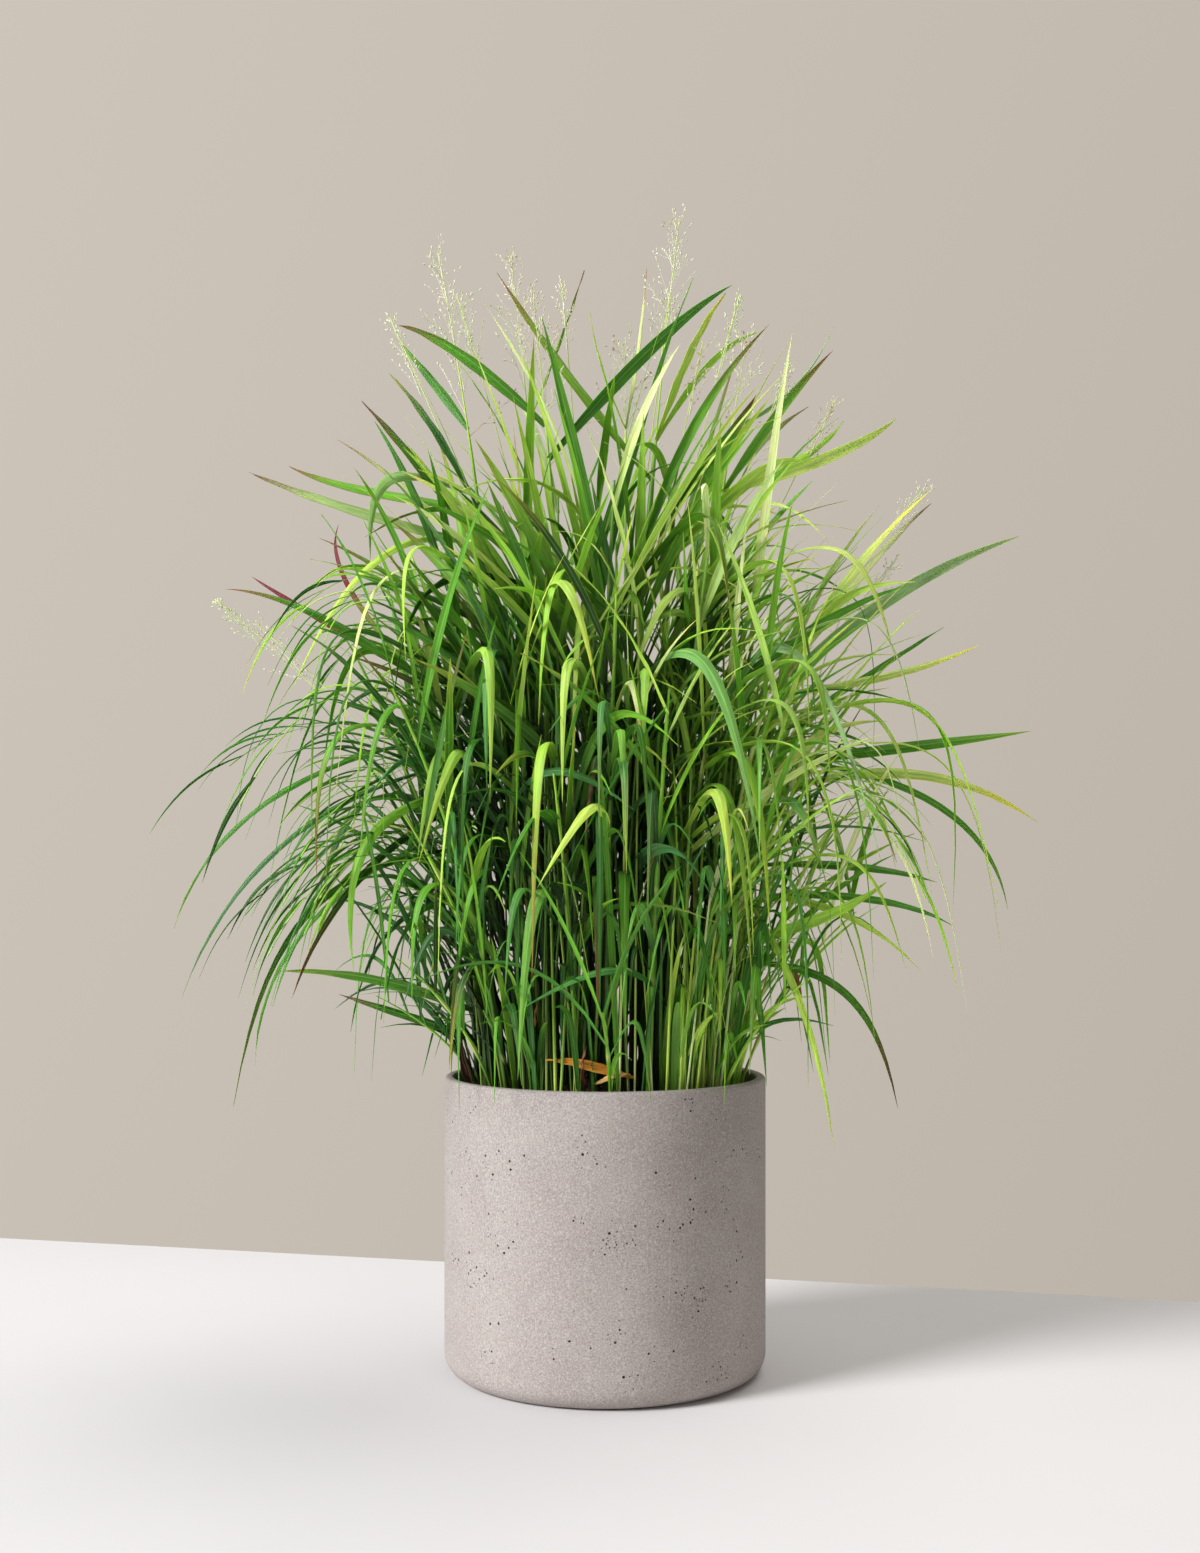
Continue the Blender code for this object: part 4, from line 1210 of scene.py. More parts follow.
def bunch_piece(bunch, name, finishes):
    mesh = bpy.data.meshes.new(name)
    mesh.from_pydata(np.concatenate(bunch["points"]).tolist(), [], bunch["faces"])
    mesh.polygons.foreach_set("material_index", bunch["finish"])
    values = {label: np.concatenate(rows) for label, rows in bunch["marks"].items()}
    # Painted shade: each point's depth in the clump, which darkens the blade and stalk finishes.
    values["deep"] = painted_shade_depth(np.concatenate(bunch["points"]))
    for label, row in values.items():
        layer = mesh.attributes.new(label, "FLOAT", "POINT")
        layer.data.foreach_set("value", row)
    for finish in finishes:
        mesh.materials.append(finish)
    mesh.shade_smooth()
    mesh.set_sharp_from_angle(angle=CREASE_ANGLE)
    piece = bpy.data.objects.new(name, mesh)
    bpy.context.scene.collection.objects.link(piece)
    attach(piece, "root")
    return piece


# %% Lay a blade along its curve
RIB_THICK = 0.5 * MM
EDGE_THICK = 0.22 * MM
LEAST_THICK = 0.08 * MM
LEAST_HALF = 0.12 * MM
FULL_HALF = 1.5 * MM


def bezier_rows(controls, shares):
    """Points and directions on a Bezier curve, at many shares at once."""
    row = [np.outer(np.ones(len(shares)), np.array(c)) for c in controls]
    t = shares[:, None]
    while len(row) > 2:
        row = [a + (b - a) * t for a, b in zip(row, row[1:])]
    along = row[1] - row[0]
    return row[0] + along * t, along / np.linalg.norm(along, axis=1)[:, None]


def lay_blade(bunch, blade, pattern, fold, ripple=0.0, **marks):
    """One blade: its midrib follows the curve, and the two halves rise from it like a shallow V."""
    shares = np.array(stations_by_bend(blade["curve"], pattern["rows"]))
    middle, along = bezier_rows(blade["curve"], shares)
    side = np.array(blade["side"])[None, :]
    side = side - along * (side * along).sum(axis=1)[:, None]
    side /= np.linalg.norm(side, axis=1)[:, None]
    turn = (blade["roll"] + blade["twist"] * shares)[:, None]
    side = side * np.cos(turn) + np.cross(along, side) * np.sin(turn)
    back = np.cross(side, along)
    half = np.maximum([blade_width(share, blade["width"]) for share in shares], LEAST_HALF)
    row = pattern["row"]
    across = pattern["points"][:, 0]
    sheet = np.sign(pattern["points"][:, 2])
    thick = RIB_THICK + (EDGE_THICK - RIB_THICK) * np.abs(across)
    thick = thick * np.minimum(1.0, half[row] / FULL_HALF) + LEAST_THICK
    wave = ripple * np.sin(26 * shares[row] + 40 * marks.get("shift", 0.0) + 2.1 * across) * across ** 2
    lift = (np.abs(across) - 0.5) * fold * half[row] * (1 - 0.5 * shares[row]) + 0.5 * sheet * thick + wave
    points = middle[row] + side[row] * (across * half[row])[:, None] + back[row] * lift[:, None]
    add_copy(bunch, points, pattern["faces"], BLADE, across=0.5 + 0.5 * across, along=shares[row], **marks)


# %% Lay a stalk along its curve
SHEATH_LENGTH = 0.13
SHEATH_THICK = 0.45 * MM
JOINT_SWELL = 0.55 * MM
COLLAR = 0.007


def window(values, low, high, soft):
    return np.clip((values - low) / soft, 0, 1) * np.clip((high - values) / soft, 0, 1)


def lay_stalk(bunch, culm, pattern, thick=1.0, thin_top=0.0, **marks):
    """A stalk with a sheath below each blade and a swollen joint under each sheath."""
    rows = pattern["rows"]
    shares = np.concatenate([[0.0], np.linspace(0, 1, rows)])
    middle = bezier_rows(culm["curve"], shares)[0]
    middle[0] = np.array(culm["foot"])
    radius = (culm["radius"] + (CULM_TIP_RADIUS - culm["radius"]) * shares) * thick
    radius = radius * (1 - thin_top * np.clip((shares - 0.6) / 0.3, 0, 1))
    joint = np.zeros(len(shares))
    for share in culm.get("roots", []):
        low = share - SHEATH_LENGTH
        radius = radius + SHEATH_THICK * window(shares, low, share, 0.02)
        joint = np.maximum(joint, window(shares, low - 1.6 * COLLAR, low + COLLAR, COLLAR))
    radius = radius + JOINT_SWELL * joint
    row = pattern["row"]
    ring = pattern["points"]
    points = middle[row] + np.stack([ring[:, 0], -ring[:, 2], 0 * row], axis=1) * radius[row][:, None]
    around = np.arctan2(ring[:, 2], ring[:, 0]) / (2 * math.pi) + 0.5
    add_copy(bunch, points, pattern["faces"], STALK, across=around, along=shares[row], joint=joint[row],
             **marks)


# %% Lay a twig and a spikelet
def lay_twig(bunch, start, end, thick, **marks):
    along = (end - start).normalized()
    turn = np.array(along.to_track_quat("Z", "X").to_matrix())
    ring = TWIG["points"]
    share = TWIG["row"] / TWIG["rows"]
    flat = np.stack([ring[:, 0], -ring[:, 2], 0 * share], axis=1) * (thick * (1 - 0.5 * share))[:, None]
    points = np.array(start) + np.outer(share, np.array(end - start)) + flat @ turn.T
    add_copy(bunch, points, TWIG["faces"], HUSK, along=share, **marks)


def lay_spikelet(bunch, place, along, length, thick, **marks):
    turn = np.array(along.to_track_quat("Z", "X").to_matrix())
    points = BALL["points"] * np.array([thick, thick, length / 2])
    add_copy(bunch, np.array(place) + points @ turn.T, BALL["faces"], HUSK, **marks)


# %% [markdown]
# ## Finishes of the plant
# Blades run from deep green low in the clump to yellow green at the top, a few are blue green, and some
# ripen to straw or wine red at the point. Each blade carries its own tone, cast and ripeness as
# attributes, which the material turns into colour, with a pale midrib, fine veins and mottling.

# %% Greens
GREENS = [
    (0.0, srgb(20, 78, 8)), (0.2, srgb(54, 128, 14)), (0.42, srgb(108, 176, 34)),
    (0.62, srgb(164, 214, 60)), (0.8, srgb(214, 240, 106)), (1.0, srgb(240, 250, 180)),
]
BLUE_GREEN = srgb(92, 158, 100)
# Painted shade: the colour that growth deep in the clump is multiplied towards, and how much of its tone it
# loses.
PAINTED_DEEP_SHADE = (0.02, 0.055, 0.012)
PAINTED_DEEP_SHADE_SHARE = 0.985
PAINTED_SHADE_TONE_LOSS = 0.4


def shaded(tree, colour):
    """Painted shade: growth deep in the clump is darkened almost to black, as little light would reach it.
    """
    share = wire_math(tree, "MULTIPLY", attribute(tree, "deep"), PAINTED_DEEP_SHADE_SHARE)
    return blend(tree, share, colour, PAINTED_DEEP_SHADE, "MULTIPLY")


def tinted(tree):
    """The green of a blade's own tone, lowered by painted shade where it grows inside the clump."""
    shade = wire_math(tree, "MULTIPLY_ADD", attribute(tree, "deep"), -PAINTED_SHADE_TONE_LOSS, 1.0)
    tone = wire_math(tree, "MULTIPLY", attribute(tree, "tone"), shade)
    return blend(tree, attribute(tree, "cast"), ramp(tree, tone, GREENS), BLUE_GREEN)


# %% Blade material
RIPE_COLOURS = [
    (0.0, srgb(234, 226, 70)), (0.4, srgb(200, 178, 84)), (0.62, srgb(150, 92, 58)),
    (0.8, srgb(120, 40, 46)), (1.0, srgb(96, 26, 44)),
]
GLOW_SHARE = 0.75
GLOW_COLOURS = (0.6, 1.0, 0.25)
GLOW_DEPTH = 1.2 * MM


def blade_material():
    """Green, with a dark mottle, pale veins and midrib, and ripe colours at the tip and the edges."""
    finish, tree, shader = new_material("grass_blade", 0.46)
    own, veins = own_veins(tree, 7.0)
    colour = tinted(tree)
    dark = blend(tree, 1.0, colour, (0.62, 0.66, 0.6), "MULTIPLY")
    colour = blend(tree, remap(tree, veins["Mottle"], 0.35, 0.7), dark, colour)
    pale = blend(tree, 1.0, colour, (0.14, 0.19, 0.07), "SCREEN")
    colour = blend(tree, remap(tree, veins["Vein"], 0.55, 1.0, 0.0, 0.4), colour, pale)
    centre = wire_math(tree, "ABSOLUTE", wire_math(tree, "SUBTRACT", own["across"], 0.5))
    colour = blend(tree, remap(tree, centre, 0.085, 0.03, 0.0, 0.8), colour, pale)
    ripe = attribute(tree, "ripe")
    ripe_colour = ramp(tree, own["shift"], RIPE_COLOURS)
    reach = wire_math(tree, "MULTIPLY_ADD", veins["Mottle"], 0.5, -0.25)
    reach = wire_math(tree, "ADD", own["along"], reach)
    reach = wire_math(tree, "ADD", reach, remap(tree, ripe, 0.96, 1.0, 0.0, 0.5))
    tip = wire_math(tree, "MULTIPLY", remap(tree, reach, 0.62, 0.98), ripe)
    colour = blend(tree, tip, colour, ripe_colour)
    edge = wire_math(tree, "MULTIPLY", remap(tree, centre, 0.4, 0.5, 0.0, 0.6), ripe)
    colour = blend(tree, edge, colour, ripe_colour)
    tree.links.new(shaded(tree, colour), shader.inputs["Base Color"])
    tree.links.new(remap(tree, veins["Mottle"], 0.3, 0.7, 0.4, 0.58), shader.inputs["Roughness"])
    shader.inputs["Specular IOR Level"].default_value = 0.22
    shader.inputs["Subsurface Weight"].default_value = GLOW_SHARE
    shader.inputs["Subsurface Radius"].default_value = GLOW_COLOURS
    shader.inputs["Subsurface Scale"].default_value = GLOW_DEPTH
    bump(tree, shader, veins["Height"], 0.12 * MM, 0.6)
    return finish


# %% Stalk material
STALK_PALE = srgb(178, 214, 76)
STALK_FOOT = srgb(112, 120, 50)
STALK_JOINT = srgb(200, 202, 112)


def stalk_material():
    """The blade's greens with paler streaks, a brownish foot and pale joints."""
    finish, tree, shader = new_material("green_stalk", 0.42)
    own, veins = own_veins(tree, 11.0)
    colour = tinted(tree)
    colour = blend(tree, remap(tree, veins["Mottle"], 0.4, 0.75, 0.0, 0.45), colour, STALK_PALE)
    colour = blend(tree, remap(tree, own["along"], 0.14, 0.0, 0.0, 0.5), colour, STALK_FOOT)
    joint = wire_math(tree, "MULTIPLY", attribute(tree, "joint"), 0.8)
    colour = blend(tree, joint, colour, STALK_JOINT)
    tree.links.new(shaded(tree, colour), shader.inputs["Base Color"])
    bump(tree, shader, veins["Height"], 0.1 * MM, 0.6)
    return finish


# %% Husk material
def husk_material():
    """Pale green to straw and brown, by each spray's own shift."""
    finish, tree, shader = new_material("seed_husk", 0.6)
    shift = attribute(tree, "shift")
    veins = placed(tree, VEINS, Across=shift, Along=attribute(tree, "along"), Count=4.0, Shift=shift)
    colour = ramp(tree, shift, [
        (0.0, srgb(176, 196, 120)), (0.5, srgb(226, 226, 196)), (0.85, srgb(214, 196, 158)),
        (1.0, srgb(150, 118, 92))])
    streak = remap(tree, veins.outputs["Mottle"], 0.4, 0.7, 0.0, 0.4)
    colour = blend(tree, streak, colour, srgb(240, 238, 222))
    tree.links.new(colour, shader.inputs["Base Color"])
    return finish


FINISHES = [blade_material(), stalk_material(), husk_material()]
print("finishes", [finish.name for finish in FINISHES])

# %% [markdown]
# ## Dress the leafy stems
# Each plain stem in the frame gives way to a fine one on the same curves. The tone follows where a blade
# grows: paler up high and towards the lit right side, darker on the shaded left, deeper low and inside,
# with a seeded scatter. Besides the grass's own change of colour, this is painted light and shade. A chosen
# blade also takes the looks that the photograph shows, which the table above gives in a word or two.

# %% Tones
HIGH_GREEN = 0.88
LOW_GREEN = 0.35
SUNNY_SIDE = 0.26
LOW_TONE = 0.22
HIGH_GAIN = 0.46
SUNNY_GAIN = 0.3
SHADED_LOSS = 0.18
TONE_SCATTER = 0.23
CASTS = (0.0, 0.0, 0.0, 0.0, 0.15, 0.35)
RIPENESS = (0.0, 0.0, 0.0, 0.0, 0.15, 0.5)
LOW_TIP = 0.5
GREEN_SHIFTS = 0.62


# Painted light and shade, besides the grass's own change of colour: the tone rises towards the top and the
# lit right side and falls on the shaded left.
def tone_at(place, draw):
    high = ease((place.z - LOW_GREEN) / (HIGH_GREEN - LOW_GREEN))
    side = ease(abs(place.x) / SUNNY_SIDE)
    gain = SUNNY_GAIN if place.x > 0 else -SHADED_LOSS
    return LOW_TONE + HIGH_GAIN * high + gain * side + draw.gauss(0, TONE_SCATTER)


def blade_marks(blade, draw, paler=0.0):
    """A blade's colour values, seeded by where it grows, or as its looks say."""
    looks = blade.get("looks", ())
    tip = blade["curve"][-1]
    tone = clamp(tone_at((blade["curve"][0] + tip) / 2, draw))
    cast = draw.choice(CASTS)
    ripe = draw.choice(RIPENESS) * (0.6 if tip.z < LOW_TIP else 1.0)
    shift = draw.random() * GREEN_SHIFTS
    if "blue" in looks:
        tone, cast = tone + 0.1, 0.65
    if "bright" in looks:
        tone, cast = max(tone, 0.74), 0.0
    if "pale" in looks:
        tone, cast = max(tone, 0.66), 0.2
    if "deep" in looks:
        tone = min(tone, 0.3)
    if "red" in looks:
        ripe, shift = 1.0 if "wholly" in looks else 0.95, 0.72 + 0.2 * draw.random()
    # Painted light: a sunlit blade gets a pale tone and yellow tips and edges, which stand in for the sun
    # shining through it.
    elif "sunlit" in looks:
        tone, cast, ripe, shift = 0.85, 0.0, 0.9, 0.0
    elif draw.random() < 0.05:
        ripe, shift = 0.85, 0.75
    return {"tone": clamp(min(1.0, tone) + paler), "cast": cast, "ripe": ripe, "shift": shift}


# %% Leafy stems
STEM_SEED = 3000
SLIM_SHARE = 0.7
BARE_TOP = 0.6
BARE_TOP_THINNING = 0.62
BARE_TOP_TONE = 0.9
SIDE_TWIGS = 6


def share_of(culm, place):
    """The share of a culm's height where a blade's root lies."""
    shares = (n / 60 for n in range(61))
    return min(shares, key=lambda t: (curve_point(culm["curve"], t) - place).length)


def lay_seed_branch(bunch, start, end, draw):
    """One airy branch: a fine twig, side twigs, and a spikelet at the end of each."""
    shift = draw.random()
    lay_twig(bunch, start, end, 0.32 * MM, shift=shift, tone=0.8)
    along = (end - start).normalized()
    lay_spikelet(bunch, end, along, 4.2 * MM, 0.85 * MM, shift=shift)
    for n in range(SIDE_TWIGS):
        foot = start.lerp(end, 0.3 + 0.11 * n)
        lean = Vector([draw.uniform(-1, 1) for axis in range(3)])
        way = (along + 0.9 * (lean - along * lean.dot(along))).normalized()
        tip = foot + way * draw.uniform(6, 15) * MM
        lay_twig(bunch, foot, tip, 0.22 * MM, shift=shift, tone=0.8)
        lay_spikelet(bunch, tip, way, draw.uniform(3.0, 4.2) * MM, draw.uniform(0.6, 0.9) * MM,
                     shift=min(1.0, shift + draw.uniform(0, 0.2)))


def dress_culm(number, culm):
    draw = random.Random(STEM_SEED + number)
    bunch = new_bunch()
    culm["roots"] = [share_of(culm, blade["curve"][0]) for blade in culm["blades"]]
    tone = clamp(0.42 + draw.gauss(0, 0.12) + (0.2 if draw.random() < 0.25 else 0.0), 0.1, 0.95)
    cast = draw.choice((0.0, 0.0, 0.3))
    thin_top = 0.0
    if culm["seeds"]:
        bare = np.clip((FINE_STALK["row"] / FINE_STALK["rows"] - BARE_TOP) / 0.25, 0, 1)
        tone = tone + (BARE_TOP_TONE - tone) * bare
        thin_top = BARE_TOP_THINNING
    lay_stalk(bunch, culm, FINE_STALK, thin_top=thin_top, tone=tone, cast=cast, shift=draw.random())
    for blade in culm["blades"]:
        if "slim" in blade.get("looks", ()):
            blade["width"] *= SLIM_SHARE
        lay_blade(bunch, blade, FINE_BLADE, fold=draw.uniform(0.25, 0.6), ripple=draw.uniform(0, 0.7) * MM,
                  **blade_marks(blade, draw))
    if culm["seeds"]:
        for solid in culm["solids"]:
            start = sum(solid[0][:3], Vector()) / 3
            end = sum(solid[0][-3:], Vector()) / 3
            lay_seed_branch(bunch, start, end, draw)
    piece = bunch_piece(bunch, f"leafy_stem_{number:02d}", FINISHES)
    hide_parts(f"culm_{number:02d}")
    return len(piece.data.polygons)


total = sum(dress_culm(n + 1, culm) for n, culm in enumerate(culms))
print("faces in leafy stems", total)

# %% [markdown]
# ## Growth between the stems
# A real clump holds many more stalks than the frame has nodes. Thinner young stalks with their own blades
# stand between the others. They follow the same rules with other seeds, and stay inside the outline that
# the frame gives. Each kind of growth is a piece of its own, or a few, so that it can be hidden or changed
# by itself.

# %% A helper that gathers one kind of growth
GROWTH_SEEDS = {
    "crown_blades": 71,
    "whiskers": 72,
    "hanging_blades": 73,
    "seed_sprays": 74,
    "rim_blades": 75,
    "dry_leaves": 76,
    "fan_lances": 77,
    "front_stalks": 78,
    "left_weeping_shoots": 79,
    "right_weeping_shoots": 81,
}


def gather(name, items, lay, finishes=FINISHES):
    """One piece from many copies: lay is called for each item with the bunch and the seeded draw."""
    draw = random.Random(GROWTH_SEEDS[name])
    bunch = new_bunch()
    for item in items:
        lay(bunch, draw, item)
    piece = bunch_piece(bunch, name, finishes)
    print(name, "faces", len(piece.data.polygons))


def bare_stalk(curve, radius):
    return {"curve": curve, "radius": radius, "foot": curve[0]}


# %% Young stalks
YOUNG_STALKS = 90
YOUNG_BLADES = 6
YOUNG_PIECES = 3
YOUNG_SEED = 5000
YOUNG_RADIUS = 1.6 * MM
YOUNG_TRIES = 8


def young_stalk(draw):
    radius = (CROWN_RADIUS + 6 * MM) * math.sqrt(draw.random())
    angle = draw.uniform(0, 2 * math.pi)
    ground = soil_height(radius)
    base = round_place(radius, angle, ground + CULM_STRAIGHT)
    top = fan_top(base, draw)
    top.z -= draw.uniform(40, 260) * MM
    return {"curve": culm_shape(base, top), "radius": YOUNG_RADIUS, "blades": [],
            "foot": Vector((base.x, base.y, ground - 12 * MM))}


def young_blade(culm, n, draw):
    """A blade that keeps to the clump's room, or none if no try does."""
    share = 0.2 + 0.78 * (n + draw.random()) / YOUNG_BLADES
    for attempt in range(YOUNG_TRIES):
        blade = rule_blade(culm, min(HIGHEST_ROOT, share), n, draw)
        if in_room(blade) and clears_pot(blade):
            blade["width"] *= draw.uniform(0.45, 0.9)
            return blade
    return None


def dress_young(numbers, name):
    bunch = new_bunch()
    for number in numbers:
        draw = random.Random(YOUNG_SEED + number)
        culm = young_stalk(draw)
        for n in range(YOUNG_BLADES):
            blade = young_blade(culm, n, draw)
            if blade:
                culm["blades"].append(blade)
                lay_blade(bunch, blade, PLAIN_BLADE, fold=draw.uniform(0.2, 0.6), **blade_marks(blade, draw))
        culm["roots"] = [share_of(culm, blade["curve"][0]) for blade in culm["blades"]]
        tone = clamp(0.5 + draw.gauss(0, 0.2), 0.1)
        lay_stalk(bunch, culm, PLAIN_STALK, tone=tone, shift=draw.random())
    print(name, "faces", len(bunch_piece(bunch, name, FINISHES).data.polygons))


for part in range(YOUNG_PIECES):
    first = part * YOUNG_STALKS // YOUNG_PIECES
    last = (part + 1) * YOUNG_STALKS // YOUNG_PIECES
    dress_young(range(first, last), f"young_stems_{part + 1}")

# %% [markdown]
# Short blades rise straight from the crown, and others lean out over the rim. They hide the bare feet of
# the stalks, as they do on a real plant, and cast their shade on the soil.

# %% Crown blades
CROWN_BLADES = 120


def lay_crown_blade(bunch, draw, n):
    radius = CROWN_RADIUS * math.sqrt(draw.random())
    angle = draw.uniform(0, 2 * math.pi)
    root = round_place(radius, angle, soil_height(radius) - 4 * MM)
    flat = round_place(1, angle + draw.uniform(-0.8, 0.8), 0)
    length = draw.uniform(90, 330) * MM
    crest = root + flat * length * draw.uniform(0.04, 0.16) + Vector((0, 0, 0.62 * length))
    tip = crest + flat * length * draw.uniform(0.08, 0.4) + Vector((0, 0, length * draw.uniform(-0.1, 0.38)))
    blade = blade_from(root, crest, tip, 0.66, draw.uniform(3, 7.5) * MM,
                       math.radians(draw.uniform(-80, 80)), draw.uniform(-0.8, 0.8))
    lay_blade(bunch, blade, PLAIN_BLADE, fold=draw.uniform(0.2, 0.7), **blade_marks(blade, draw))


gather("crown_blades", range(CROWN_BLADES), lay_crown_blade)

# %% Rim blades
RIM_BLADES = 50
RIM_BAND = (108, 132)
RIM_CLEAR = 8 * MM


def lay_rim_blade(bunch, draw, n):
    """A short blade that grows at the crown's edge and leans out over the rim."""
    angle = draw.uniform(0, 2 * math.pi)
    radius = draw.uniform(*RIM_BAND) * MM
    flat = round_place(1, angle, 0)
    root = flat * radius + Vector((0, 0, soil_height(radius) - 3 * MM))
    reach, rise = draw.uniform(20, 75) * MM, draw.uniform(55, 150) * MM
    crest = root + flat * 0.35 * reach + Vector((0, 0, rise))
    side = Vector((-flat.y, flat.x, 0)) * draw.uniform(-30, 30) * MM
    tip = root + flat * 1.5 * reach + side + Vector((0, 0, rise * draw.uniform(0.6, 1.3)))
    blade = blade_from(root, crest, tip, 0.7, draw.uniform(3.5, 8) * MM,
                       math.radians(draw.uniform(-60, 60)), draw.uniform(-0.8, 0.8))
    marks = blade_marks(blade, draw, paler=0.15)
    if tip.z > POT_HEIGHT + RIM_CLEAR:
        lay_blade(bunch, blade, PLAIN_BLADE, fold=draw.uniform(0.2, 0.6), **marks)


gather("rim_blades", range(RIM_BLADES), lay_rim_blade)

# %% [markdown]
# Half way up, broad straight blades cross one another and fan out from the middle, mostly to the left. They
# give the clump its criss-cross pattern, which the upright stalks alone don't.

# %% Lances that fan out
LANCES = 110
LANCE_SIDES = (-1, -1, -1, 1)
LANCE_LEANS = (10, 62)
LANCE_LEVELS = (450, 740)
LANCE_LENGTHS = (150, 250)
LANCE_WIDTHS = (6.5, 11)


def lay_lance(bunch, draw, n):
    lean = math.radians(draw.choice(LANCE_SIDES) * draw.uniform(*LANCE_LEANS))
    level = draw.uniform(*LANCE_LEVELS) * MM
    length = draw.uniform(*LANCE_LENGTHS) * MM
    root = Vector((draw.uniform(-45, 45) * MM + 0.08 * math.sin(lean), draw.uniform(-130, -15) * MM, level))
    way = Vector((math.sin(lean), draw.uniform(-0.35, 0.05), math.cos(lean))).normalized()
    sag = Vector((0, 0, 0.1 * length * abs(math.sin(lean))))
    blade = blade_from(root, root + way * 0.55 * length + sag, root + way * length - sag, 0.66,
                       draw.uniform(*LANCE_WIDTHS) * MM,
                       math.radians(draw.uniform(20, 70)) * draw.choice((-1, 1)), draw.uniform(-0.4, 0.4))
    marks = blade_marks(blade, draw, paler=-0.06)
    if in_room(blade):
        lay_blade(bunch, blade, FINE_BLADE, fold=draw.uniform(0.2, 0.5), **marks)


gather("fan_lances", range(LANCES), lay_lance)

# %% [markdown]
# Thin pale stalks stand at the crown's front edge, in full light, each with one short blade at its top.
# Behind them lies the dark of the clump, so they draw the bright upright lines just over the rim.

# %% Bright stalks at the front
FRONT_STALKS = 75
FRONT_RIGHT_END = 350
FRONT_SWEEP = 145
FRONT_HEIGHTS = (120, 420)


def front_stalk(draw):
    """The line of a thin upright stalk, more of them at the right."""
    angle = math.radians(FRONT_RIGHT_END - FRONT_SWEEP * draw.random() ** 1.6)
    radius = draw.uniform(*RIM_BAND) * MM
    foot = round_place(radius, angle, soil_height(radius) - 6 * MM)
    height = draw.uniform(*FRONT_HEIGHTS) * MM
    top = Vector((foot.x * draw.uniform(1.0, 1.35) + draw.uniform(-25, 25) * MM,
                  foot.y * draw.uniform(0.95, 1.2), foot.z + height))
    return [foot, foot.lerp(top, 0.45) + Vector((0, 0, 0.05 * height)), top]


def lay_front_stalk(bunch, draw, n):
    curve = front_stalk(draw)
    tone = clamp(0.8 + draw.gauss(0, 0.16), 0.3)
    lay_stalk(bunch, bare_stalk(curve, draw.uniform(0.8, 1.5) * MM), PLAIN_STALK,
              tone=tone, cast=draw.choice((0.0, 0.25)), shift=draw.random())
    way = (curve[2] - curve[1]).normalized()
    flat = Vector((draw.uniform(-0.6, 0.6), draw.uniform(-0.5, 0.1), 0))
    length = draw.uniform(60, 170) * MM
    crest = curve[2] + (way * 0.5 + flat * 0.15) * length
    tip = crest + (way * draw.uniform(-0.1, 0.45) + flat * 0.5) * length
    blade = blade_from(curve[2] - way * 10 * MM, crest, tip, 0.7, draw.uniform(3, 7) * MM,
                       math.radians(draw.uniform(-70, 70)), draw.uniform(-0.5, 0.5))
    marks = blade_marks(blade, draw)
    marks["tone"] = tone
    lay_blade(bunch, blade, PLAIN_BLADE, fold=0.35, **marks)


gather("front_stalks", range(FRONT_STALKS), lay_front_stalk)

# %% [markdown]
# ## Hanging growth
# Round the front and the sides, soft blades fold over and hang almost straight down, and thin shoots arch
# out and droop under rows of narrow leaves. Each hanging blade has its root on the nearest stalk, rises a
# little, and falls from a crest that lies further out.

# %% Hanging blades
HANGING_BLADES = 60
HANGING_FRONT = (188, 352)
HANGING_LEVELS = (430, 760)
HANGING_DROPS = (110, 250)
OPEN_STALKS = [{"curve": culm["curve"], "blades": []} for culm in culms]


def hanging_blade(draw):
    """A blade that folds over and hangs on the side that the photograph shows."""
    flat = round_place(1, math.radians(draw.uniform(*HANGING_FRONT)), 0)
    level = draw.uniform(*HANGING_LEVELS) * MM
    out = 0.16 + 0.05 * math.sin((level / MM - HANGING_LEVELS[0]) / 105) + draw.uniform(-0.03, 0.03)
    crest = flat * out * Vector((1.25, 1, 0)).length * 0.72 + Vector((0, 0, level + 0.05))
    crest.x *= 1.3
    culm, share = nearest_on(OPEN_STALKS, Vector((0.5 * crest.x, 0.5 * crest.y, level - 0.02)))
    root = on_culm(culm, share)
    drop = draw.uniform(*HANGING_DROPS) * MM
    tip = Vector((crest.x * draw.uniform(0.95, 1.18), crest.y * draw.uniform(0.88, 1.0), crest.z - drop))
    return blade_from(root, crest, tip, draw.uniform(0.78, 0.92), draw.uniform(6, 11) * MM,
                      math.radians(draw.uniform(-20, 20)), draw.uniform(-0.4, 0.4))


def lay_hanging_blade(bunch, draw, n):
    blade = hanging_blade(draw)
    if clears_pot(blade):
        marks = blade_marks(blade, draw, paler=0.12)
        lay_blade(bunch, blade, FINE_BLADE, fold=draw.uniform(0.15, 0.4), **marks)


gather("hanging_blades", range(HANGING_BLADES), lay_hanging_blade)

# %% Weeping shoots
LEFT_SHOOTS = 17
RIGHT_SHOOTS = 4
LEFT_REACH = (210, 335)
RIGHT_REACH = (210, 300)
SHOOT_RADIUS = 0.9 * MM
SHOOT_LEAVES = 6
WIDEST_LEFT = -0.398
WIDEST_RIGHT = 0.403


